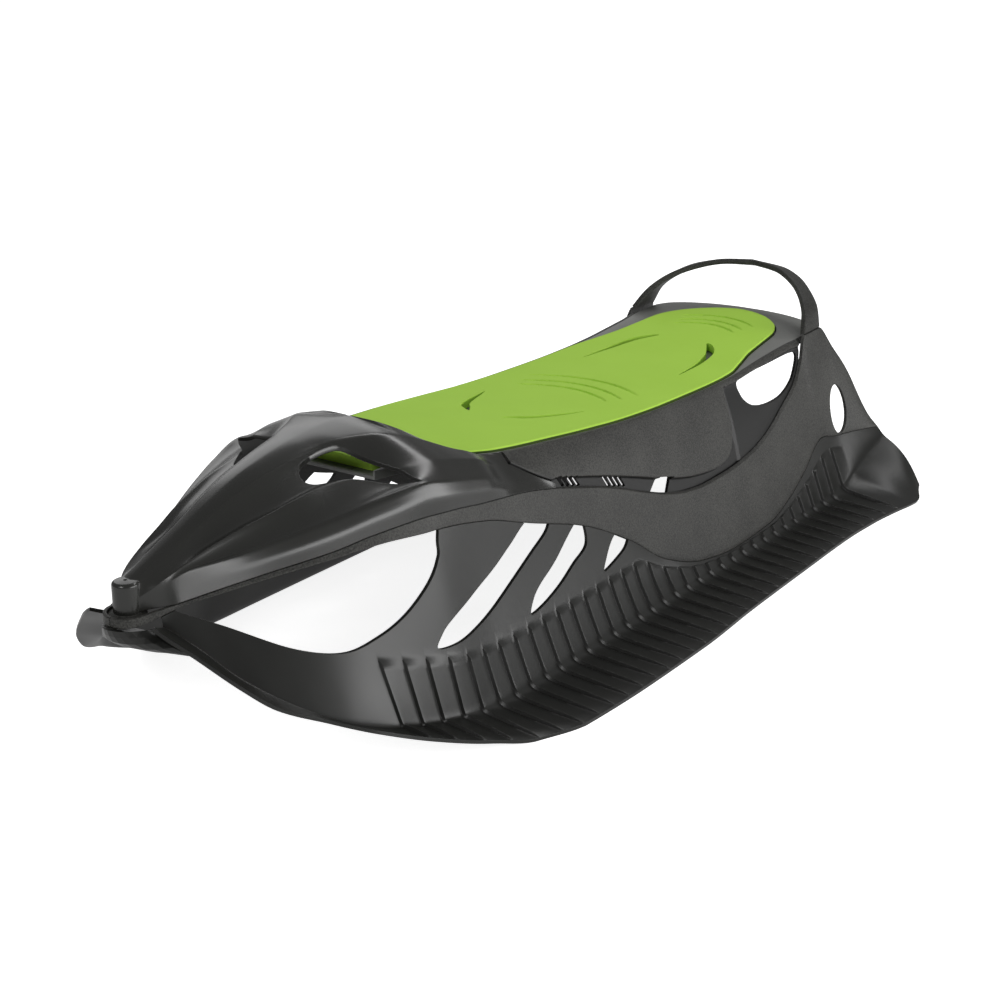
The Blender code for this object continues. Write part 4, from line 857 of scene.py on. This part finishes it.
wallLook = {
    "spans": [(0.4338, 0.82, 0.004), (0.82, 0.875, 0.0012), (0.875, 1.0505, 0.004)],
    "legLean": 0.45, "bulge": 0.003, "overlap": 0.008, "tuckGap": 0.0010,
    "hoodEnd": (0.480, 0.500),          # stations over which the band takes over from the hood
    "hoodGap": 0.0008, "footRoom": 0.0110, "rimRoom": 0.018,
    "panelStep": 0.0060, "stepRise": (0.455, 0.486), "rearFade": (0.860, 0.8695), "rearShare": 0.40,
    "skin": 0.0003, "rimSkin": 0.0004, "edgeRoll": 0.0010, "rimBand": 0.0060,
    "overBand": 0.0020, "underPanel": 0.0040, "stepBelow": (0.0022, 0.0006), "stepAbove": 0.0028,
    "rimBelow": 0.0012, "fullRoom": 0.012, "leastRoom": 0.2, "grainAndShadeFade": (-0.0010, 0.0006),
    "thinner": (0.7, 0.4),              # the inner face comes nearer to the panel towards the rim
    "rowCounts": [2, 3, 3, 3, 3, 3, 4, 4, 4, 2], "passes": 2, "cutStart": 0.085, "sharp": 34,
    # panelLow, grilles, window and hole: station, height
    "panelLow": [(0.433, 0.2135), (0.460, 0.1960), (0.496, 0.1813), (0.529, 0.1731),
                 (0.579, 0.1605), (0.637, 0.1436), (0.697, 0.1256), (0.763, 0.1115),
                 (0.806, 0.1080), (0.830, 0.1115), (0.843, 0.1190), (0.853, 0.1330),
                 (0.858, 0.1500), (0.863, 0.1800), (0.869, 0.1920)],
    "panelRear": 0.868,
    "grilles": [(0.516, 0.1725), (0.599, 0.1490)],
    "bars": 4, "barPitch": 0.0092, "barWidth": 0.0052, "barHeight": 0.0135, "barSlant": -0.008,
    "barFall": -0.26,
    "window": [(0.662, 0.1170), (0.682, 0.1320), (0.711, 0.1250), (0.695, 0.1050)],
    "hole": [(0.902, 0.1860), (0.930, 0.1890), (0.985, 0.1905), (1.036, 0.1925), (1.046, 0.1900),
             (1.042, 0.1790), (1.024, 0.1620), (0.995, 0.1510), (0.965, 0.1480), (0.938, 0.1500),
             (0.916, 0.1570), (0.903, 0.1690)],
}


def rimPoint(stations):
    # upper edge of a wall, beside the deck's outline and as low as the deck's rim
    halfWidth = through(deckOutline, stations, 1) + sled["wall"] + 2 * sled["clearance"]
    return np.stack([halfWidth, stations, through(padEdge, stations, 2) - sled["rimDrop"]], axis=-1)


def sideX(stations, heights):
    # half width of the outer side surface at a station and height
    low, high, rim = lineOf(bandLow, stations), lineOf(bandHigh, stations), rimPoint(stations)
    above = np.clip((heights - high[:, 2]) / (rim[:, 2] - high[:, 2]), 0, 1)
    inBand = (heights - low[:, 2]) / (high[:, 2] - low[:, 2])
    upper = high[:, 0] * (1 - above) + rim[:, 0] * above + wallLook["bulge"] * 4 * above * (1 - above)
    lower = low[:, 0] * (1 - inBand) + high[:, 0] * inBand
    return np.where(heights > high[:, 2], upper, lower)


def panelFoot(stations):
    # height where the raised panel begins; behind its rear edge only the rim stands proud
    return np.where(stations > wallLook["panelRear"], rimPoint(stations)[:, 2] - wallLook["rimBand"],
                    through(wallLook["panelLow"], stations, 1))


def placesOf(piece):
    # half width, station and height of every vertex
    spots = np.empty(3 * len(piece.data.vertices))
    piece.data.vertices.foreach_get("co", spots)
    return np.abs(spots[0::3]), spots[1::3] + sled["noseToOrigin"], spots[2::3]


def markPoints(piece, name, values):
    marks = piece.data.attributes.new(name, "FLOAT", "POINT")
    marks.data.foreach_set("value", values)


def markGrainAndPaintedShade(piece):
    # attribute: 1 on the raised panel, which is grained; 0 in the recess round it, which is smooth and whose
    # colour is darkened as painted shade
    stations, heights = placesOf(piece)[1:]
    foot, (below, above) = panelFoot(stations), wallLook["grainAndShadeFade"]
    markPoints(piece, "grained", ease(foot + below, foot + above, heights))


def wallPiece(word, side):
    # side surface less a depth at each level from the foot to the rim, with straight rows between the levels
    stations = spaced(*wallLook["spans"])
    rim, high = rimPoint(stations), lineOf(bandHigh, stations)
    hoodEdge = through(hood["flankTop"], stations, 2)
    behindBand = np.minimum(high[:, 2] - wallLook["overlap"], rim[:, 2] - wallLook["rimRoom"])
    takenOver = ease(*wallLook["hoodEnd"], stations)
    bottom = (hoodEdge - wallLook["overlap"]) * (1 - takenOver) + behindBand * takenOver
    panel = np.maximum(panelFoot(stations), bottom + wallLook["footRoom"])
    panel = (hoodEdge + wallLook["hoodGap"]) * (1 - takenOver) + panel * takenOver
    skin, roll, tuck = wallLook["skin"], wallLook["edgeRoll"], sled["wall"] + wallLook["tuckGap"]
    shallower = 1 - wallLook["rearShare"] * ease(*wallLook["rearFade"], stations)
    inset = skin + wallLook["panelStep"] * ease(*wallLook["stepRise"], stations) * shallower
    inset = np.maximum(inset, tuck * (1 - takenOver))
    tucked = np.maximum(inset, tuck)
    overBand = np.minimum(bottom + wallLook["overlap"] + wallLook["overBand"], panel - wallLook["underPanel"])
    # where the panel's foot is near the rim, the steps between them shrink
    room = np.clip((rim[:, 2] - panel) / wallLook["fullRoom"], wallLook["leastRoom"], 1)
    aboveStep, belowRim = panel + wallLook["stepAbove"] * room, rim[:, 2] - wallLook["rimBelow"] * room
    further, nearer = wallLook["stepBelow"]
    lowThinner, highThinner = wallLook["thinner"]
    levels = [                          # height, depth of the outer face, depth of the inner face
        (bottom, tucked, tucked),
        (overBand, tucked, tucked),
        (0.5 * (overBand + panel), inset, inset),
        (panel - further, inset, inset),
        (panel - nearer, inset - roll, inset),
        (panel + roll * room, roll, inset),
        (aboveStep, skin, inset),
        (0.66 * aboveStep + 0.34 * belowRim, skin, lowThinner * inset),
        (0.33 * aboveStep + 0.67 * belowRim, skin, highThinner * inset),
        (belowRim, wallLook["rimSkin"], roll),
        (rim[:, 2], roll, roll),
    ]

    def face(depths, behind):
        rows = [np.stack([sideX(stations, level[0]) - level[depths] - behind, stations, level[0]], axis=-1)
                for level in levels]
        grid = rounded(acrossRows(rows, wallLook["rowCounts"]), wallLook["passes"])
        grid[:, -1, 1] += wallLook["legLean"] * np.maximum(grid[:, -1, 2] - high[-1, 2], 0)
        return sided(grid, side)

    piece = solidBetween("wall" + word.capitalize(), face(1, 0), face(2, sled["wall"]))
    outlines = []
    width, height, slant = wallLook["barWidth"], wallLook["barHeight"], wallLook["barSlant"]
    for station, level in wallLook["grilles"]:
        for bar in range(wallLook["bars"]):
            along = (bar - (wallLook["bars"] - 1) / 2) * wallLook["barPitch"]
            middle, centre = station + along, level + along * wallLook["barFall"]
            outlines.append([(middle + (across * width + up * slant) / 2, centre + up * height / 2)
                             for across, up in ((-1, -1), (1, -1), (1, 1), (-1, 1))])
    outlines.append(wallLook["window"])
    outlines.append(smoothOutline(wallLook["hole"]))
    cutSide(piece, outlines, side, wallLook["cutStart"])
    markGrainAndPaintedShade(piece)
    finishPiece(piece, ["side_wall_" + word], wallPlastic, wallLook["sharp"])


for word, side in (("right", 1), ("left", -1)):
    wallPiece(word, side)
print("side walls made")


# deck

deck = {
    "front": 0.288, "narrowFrom": 1.06, "end": 1.1645, "spacing": 0.006, "rearSpacing": 0.002,
    "shelfRise": 0.0012, "riseSpacing": 0.0006, "edgeGap": 0.0020, "padThickness": 0.009,
    "rimLip": 0.0012, "roll": 0.0005, "rollDeep": 0.3, "recessSlope": 0.0004, "shelfShare": 0.55,
    "sharp": 38,
}


def floorHeight(stations):
    return through(padEdge, stations, 2) - deck["padThickness"] - sled["clearance"]


def deckPiece():
    # rows across at each station: rim, recess and floor above, and the same half widths below
    rear, spacing = sled["padRear"] + sled["clearance"], deck["rearSpacing"]
    shelf = rear + deck["shelfRise"]
    stations = spaced((deck["front"], deck["narrowFrom"], deck["spacing"]),
                      (deck["narrowFrom"], rear, spacing),
                      (rear, shelf, deck["riseSpacing"]), (shelf, deck["end"], spacing))
    outline = through(deckOutline, stations, 1)
    recess = np.minimum(through(padEdge, stations, 1) + deck["edgeGap"], outline - deck["rimLip"])
    rim = through(padEdge, stations, 2) - sled["rimDrop"]
    behind = stations > rear + sled["tolerance"]
    recess = np.where(behind, outline * deck["shelfShare"], recess)
    floor = np.where(behind, rim, floorHeight(stations))
    under = floorHeight(stations) - sled["wall"]
    roll, slope = deck["roll"], deck["recessSlope"]
    second = deck["rollDeep"] * roll    # how far in and down the rolled edge's second row lies
    near = outline - second

    def row(halfWidth, height):
        return np.stack([halfWidth, stations, height], axis=-1)

    top = [row(outline, rim - roll), row(near, rim - second), row(outline - roll, rim),
           row(recess + np.where(behind, 0, slope), rim), row(recess, rim - np.where(behind, 0, roll)),
           row(recess - slope, floor), row(recess * 0.5, floor)]
    bottom = [row(halfWidth, under) for halfWidth in (outline, near, outline - roll, recess + slope,
                                                      recess, recess - slope, recess * 0.5)]
    top, bottom = (np.concatenate([np.array(rows), mirrored(np.array(rows))]) for rows in (top, bottom))
    piece = solidBetween("deckTray", top, bottom)
    finishPiece(piece, ["seat_deck"], deckPlastic, deck["sharp"])


deckLook = {
    "colour": (0.120, 0.122, 0.115), "colourShift": 1.45, "speckle": 1.6,
    "roughness": 0.36, "roughCloud": 0.05, "roughGrain": 0.12,
    "cloudScale": 16.0, "grainScale": 1000.0, "grainHeight": 0.00007, "waveHeight": 0.00005,
    "softEdge": 0.0009, "specular": 0.5,
}
deckPlastic = plasticFinish("deckPlastic", deckLook)
deckPiece()
print("deck made")


# seat pad

pad = {
    "spans": [(0.300, 0.694, 0.006), (0.694, 0.780, 0.0008), (0.780, 1.028, 0.005),
              (1.028, 1.098, 0.0008), (1.098, 1.132, 0.003), (1.132, sled["padRear"], 0.0008)],
    "frontTrim": 0.010, "rows": 40, "footShare": 0.992, "crown": 0.0015, "edgeRadius": 0.0022,
    "endLength": 0.004, "endDrop": 0.0018, "sharp": 50,
    "waveHeight": 0.00025, "waveAlong": 61, "waveStart": 2.0, "waveAcross": 45,
    "grooveHalf": 0.0028, "grooveDepth": 0.0042, "grooveLeast": 0.0004,
    "cutHeights": (0.150, 0.260), "slitPieces": 5,
    "sideFade": (0.0012, 0.0004), "rearFade": (1.1368, 1.1376), "edgeFade": (0.0010, 0.0018),
    # arcs: half width and station of an end, station of the middle; slits: half width, station
    "frontArcs": [((0.0762, 0.745), 0.772), ((0.0702, 0.720), 0.745), ((0.0616, 0.701), 0.722)],
    "rearArcs": [((0.0537, 1.069), 1.090), ((0.0483, 1.049), 1.068), ((0.0431, 1.035), 1.051)],
    "frontSlit": [(0.022, 0.549), (0.033, 0.5550), (0.047, 0.568), (0.060, 0.604), (0.0690, 0.645),
                  (0.054, 0.606), (0.042, 0.578), (0.031, 0.5640)],
    "rearSlit": [(0.035, 0.982), (0.047, 0.9760), (0.062, 0.951), (0.068, 0.905), (0.0690, 0.852),
                 (0.0625, 0.905), (0.053, 0.945), (0.044, 0.9650)],
}


def grooveDepth(x, station):
    # for each arc, depth (1 - (d / w)^4) sqrt(1 - t^4): d is the distance from it along the sled, w its half
    # width, and t runs from 0 in its middle to 1 at its ends
    depth = np.zeros_like(x)
    for (endX, endStation), middleStation in pad["frontArcs"] + pad["rearArcs"]:
        t = np.clip(x / endX, -1, 1)
        arc = middleStation + (endStation - middleStation) * t * t
        half = pad["grooveHalf"] * np.sqrt(np.maximum(1 - t ** 4, pad["grooveLeast"]))
        away = np.clip((station - arc) / half, -1, 1)
        shape = (1 - away ** 4) * (np.abs(x) < endX) * np.sqrt(1 - t ** 4)
        depth = np.maximum(depth, pad["grooveDepth"] * shape)
    return depth


def markSideGapShade(piece):
    # attribute: 1 on the pad's sides, below its rounded upper edge, where the colour is painted dark as the
    # shade of the gap at the rim
    halfWidths, stations, heights = placesOf(piece)
    beside = ease(*pad["sideFade"], through(padEdge, stations, 1) - halfWidths)
    outside = np.maximum(beside, ease(*pad["rearFade"], stations))
    markPoints(piece, "cutEdge", outside * ease(*pad["edgeFade"], through(padEdge, stations, 2) - heights))


def padPiece():
    # rows from the rounded edge to the middle; height = edge + crown (1 - (x / half width)^2) + a slight wave
    stations = spaced(*pad["spans"])
    half = through(padEdge, stations, 1)
    half[0] -= pad["frontTrim"]
    radius, edgeHeight = pad["edgeRadius"], through(padEdge, stations, 2)
    nearEnd = np.clip((stations - (sled["padRear"] - pad["endLength"])) / pad["endLength"], 0, 1)
    endDrop = pad["endDrop"] * (1 - np.sqrt(1 - nearEnd ** 2))
    turn = np.linspace(0, pi / 2, sled["roundPoints"])
    rows = [(half - radius * (1 - cos(a)), radius * (1 - sin(a))) for a in turn]
    rows += [((half - radius) * share, 0) for share in np.linspace(1, 0, pad["rows"])[1:]]
    top, bottom = [], []
    floor = floorHeight(stations) + sled["clearance"]
    waveAlong = pad["waveHeight"] * np.sin(stations * pad["waveAlong"] + pad["waveStart"])
    for width, drop in rows:
        crown = pad["crown"] * (1 - (width / half) ** 2)
        wave = waveAlong * np.cos(width * pad["waveAcross"]) * (drop == 0)
        height = edgeHeight + crown - drop - endDrop + wave
        top.append(np.stack([width, stations, height - grooveDepth(width, stations)], axis=-1))
        bottom.append(np.stack([width * pad["footShare"], stations, floor], axis=-1))
    top, bottom = (np.concatenate([np.array(rows), mirrored(np.array(rows[:-1]))]) for rows in (top, bottom))
    piece = solidBetween("padCushion", top, bottom)
    outlines = []
    for name in ("frontSlit", "rearSlit"):
        outline = smoothOutline(pad[name], pad["slitPieces"])
        outlines += [outline, outline * [-1, 1]]
    cutThrough(piece, outlines, "z", *pad["cutHeights"])
    markSideGapShade(piece)
    finishPiece(piece, ["seat_pad"], padFoam, pad["sharp"])


padPiece()
print("pad made")


# rear handle

handle = {
    # share of the way up, half width, station, height
    "front": [(0.0, 0.1290, 1.0668, 0.2110), (0.2, 0.1190, 1.085, 0.2310),
              (0.4, 0.1010, 1.107, 0.2490), (0.6, 0.0750, 1.130, 0.2620),
              (0.8, 0.0400, 1.151, 0.2710), (1.0, 0.0000, 1.160, 0.2740)],
    "rear": [(0.0, 0.1275, 1.1130, 0.2110), (0.2, 0.1190, 1.1220, 0.2330),
             (0.4, 0.1010, 1.1350, 0.2500), (0.6, 0.0750, 1.1530, 0.2620),
             (0.8, 0.0400, 1.1720, 0.2670), (1.0, 0.0000, 1.1800, 0.2680)],
    "thickness": 0.0072, "roll": 0.0020, "cuts": 45, "cornerCuts": 5, "sharp": 40,
}


def handlePiece():
    # strap between two edge lines; a cut across it is a flat loop of four corners, each its centre
    # + roll (cos a, sin a), a running on by a quarter turn from corner to corner
    cuts = handle["cuts"]
    share = np.concatenate([np.linspace(0, 1, cuts), np.linspace(1, 0, cuts)[1:]])
    mirror = np.concatenate([np.ones(cuts), -np.ones(cuts - 1)])
    front, rear = (np.stack([through(handle[name], share, 1) * mirror, through(handle[name], share, 2),
                             through(handle[name], share, 3)], axis=-1) for name in ("front", "rear"))
    across = unit(rear - front)
    along = np.gradient(0.5 * (front + rear), axis=0)
    normal = unit(np.cross(across, along))
    width = np.linalg.norm(rear - front, axis=1, keepdims=True)
    roll, thick = handle["roll"], handle["thickness"]
    turn = np.linspace(0, pi / 2, handle["cornerCuts"])
    rows = []
    for quarter, (right, under) in enumerate([(0, 0), (1, 0), (1, 1), (0, 1)]):
        for angle in turn + quarter * pi / 2 + pi:
            sideways = (width - roll if right else roll) + roll * cos(angle)
            deep = (thick - roll if under else roll) + roll * sin(angle)
            rows.append(front + across * sideways - normal * deep)
    grid = np.array(rows)
    count, columns = grid.shape[:2]
    at = np.arange(count * columns).reshape(count, columns)
    after = np.roll(at, -1, axis=0)
    quads = np.stack([at[:, :-1], at[:, 1:], after[:, 1:], after[:, :-1]], axis=-1).reshape(-1, 4)
    caps = []
    for column in (0, columns - 1):
        ring = at[:, column]
        ladder = np.stack([ring[:count // 2 - 1], ring[1:count // 2], ring[::-1][1:count // 2],
                           ring[::-1][:count // 2 - 1]], axis=-1)
        caps.append(ladder if column else ladder[:, ::-1])
    piece = meshPiece("handleStrap", grid.reshape(-1, 3), np.concatenate([quads] + caps))
    finishPiece(piece, ["rear_handle"], grainPlastic, handle["sharp"])


handlePiece()
print("handle made")


# pieces kept from the frame

def dress(prefix, material):
    for piece in bpy.data.objects:
        if piece.type == "MESH" and piece.name.startswith(prefix):
            for slot in piece.material_slots:
                slot.material = material


dress("nose_collar", grainPlastic)
dress("nose_chin", satinPlastic)
dress("cross_rib", satinPlastic)
dress("deck_screw", screwZinc)
print("frame pieces dressed")


# studio

studio = {
    "azimuth": 35.32, "elevation": 19.87, "roll": -0.21,            # degrees
    "focalPixels": 1947.0, "photoPixels": 1000, "sensor": 36,       # sensor in millimetres
    "place": (1.2, -1.1166, 0.8555),                                # half width, station, height
    "floor": (0.90, 0.90, 0.90), "floorShift": 0.985, "speckleScale": 3.0,
    "floorGlow": 0.24, "floorSeen": 0.95, "world": 0.27, "backdrop": 1.0,
    "floorHalf": 60.0, "floorRoughness": 0.7, "floorSpecular": 0.1,
    "softboxes": [           # name, place, aim, width and height, watts
        ("highRear", (0.2, 1.3, 2.2), (0, -0.3, 0.2), (2.2, 0.32), 15),
        ("right", (2.4, 0.5, 0.55), (0, -0.2, 0.15), (3.0, 0.75), 43),
        ("leftRear", (-2.1, 1.7, 1.5), (0, 0, 0.15), (1.8, 1.5), 10),
        ("front", (0.2, -2.8, 1.9), (0, 0, 0.15), (1.2, 0.8), 22),
    ],
}


def cameraFromPhoto():
    # axes of the view: back B, right R and up U, turned by the roll; lens = focal pixels * sensor / pixels
    azimuth, elevation, roll = (radians(studio[name]) for name in ("azimuth", "elevation", "roll"))
    back = Vector((sin(azimuth) * cos(elevation), -cos(azimuth) * cos(elevation), sin(elevation)))
    level = Vector((cos(azimuth), sin(azimuth), 0))
    rise = back.cross(level)
    right = cos(roll) * level + sin(roll) * rise
    up = -sin(roll) * level + cos(roll) * rise
    data = bpy.data.cameras.new("camera")
    data.lens = studio["focalPixels"] * studio["sensor"] / studio["photoPixels"]
    data.sensor_width = studio["sensor"]
    camera = newObject("camera", data)
    x, y, z = studio["place"]
    turn = Matrix((right, up, back)).transposed().to_4x4()
    camera.matrix_world = Matrix.Translation((x, y - sled["noseToOrigin"], z)) @ turn
    bpy.context.scene.camera = camera


def softbox(name, place, aim, size, power):
    data = bpy.data.lights.new(name, "AREA")
    data.shape = "RECTANGLE"
    data.size, data.size_y = size
    data.energy = power
    lamp = newObject(name, data)
    lamp.location = place
    lamp.rotation_euler = (Vector(aim) - Vector(place)).to_track_quat("-Z", "Y").to_euler()


def dimmerLight(tree, seen, thrown):
    # strength seen for the camera's own rays, thrown for all other light
    camera = nodeOf(tree, "ShaderNodeLightPath", {}, {}, "Is Camera Ray")
    return camera * (seen - thrown) + thrown


def floorPiece():
    # plain pale light table that runs on to the horizon; its glow keeps the shadows faint,
    # and lights the sled less than it shows
    mesh = bpy.data.meshes.new("floor")
    size = studio["floorHalf"]
    corners = [(-size, -size, 0), (size, -size, 0), (size, size, 0), (-size, size, 0)]
    mesh.from_pydata(corners, [], [(0, 1, 2, 3)])
    material, tree, shader, place = newMaterial("floorPaint")
    speckle = noiseAt(tree, place, studio["speckleScale"])
    colour = mixed(tree, speckle, studio["floor"], shaded(studio["floor"], studio["floorShift"]))
    feed(tree, shader, {"Base Color": colour, "Emission Color": colour,
                        "Emission Strength": dimmerLight(tree, studio["floorSeen"], studio["floorGlow"]),
                        "Roughness": studio["floorRoughness"], "Specular IOR Level": studio["floorSpecular"]})
    mesh.materials.append(material)
    floor = newObject("floor", mesh)


def worldLight():
    world = bpy.data.worlds.new("studio")
    world.use_nodes = True
    tree = world.node_tree
    strength = dimmerLight(tree, studio["backdrop"], studio["world"])
    feed(tree, tree.nodes["Background"], {"Strength": strength, "Color": (1, 1, 1, 1)})
    bpy.context.scene.world = world


cameraFromPhoto()
floorPiece()
worldLight()
for box in studio["softboxes"]:
    softbox(*box)
bpy.context.scene.view_settings.view_transform = "Standard"
print("studio made")
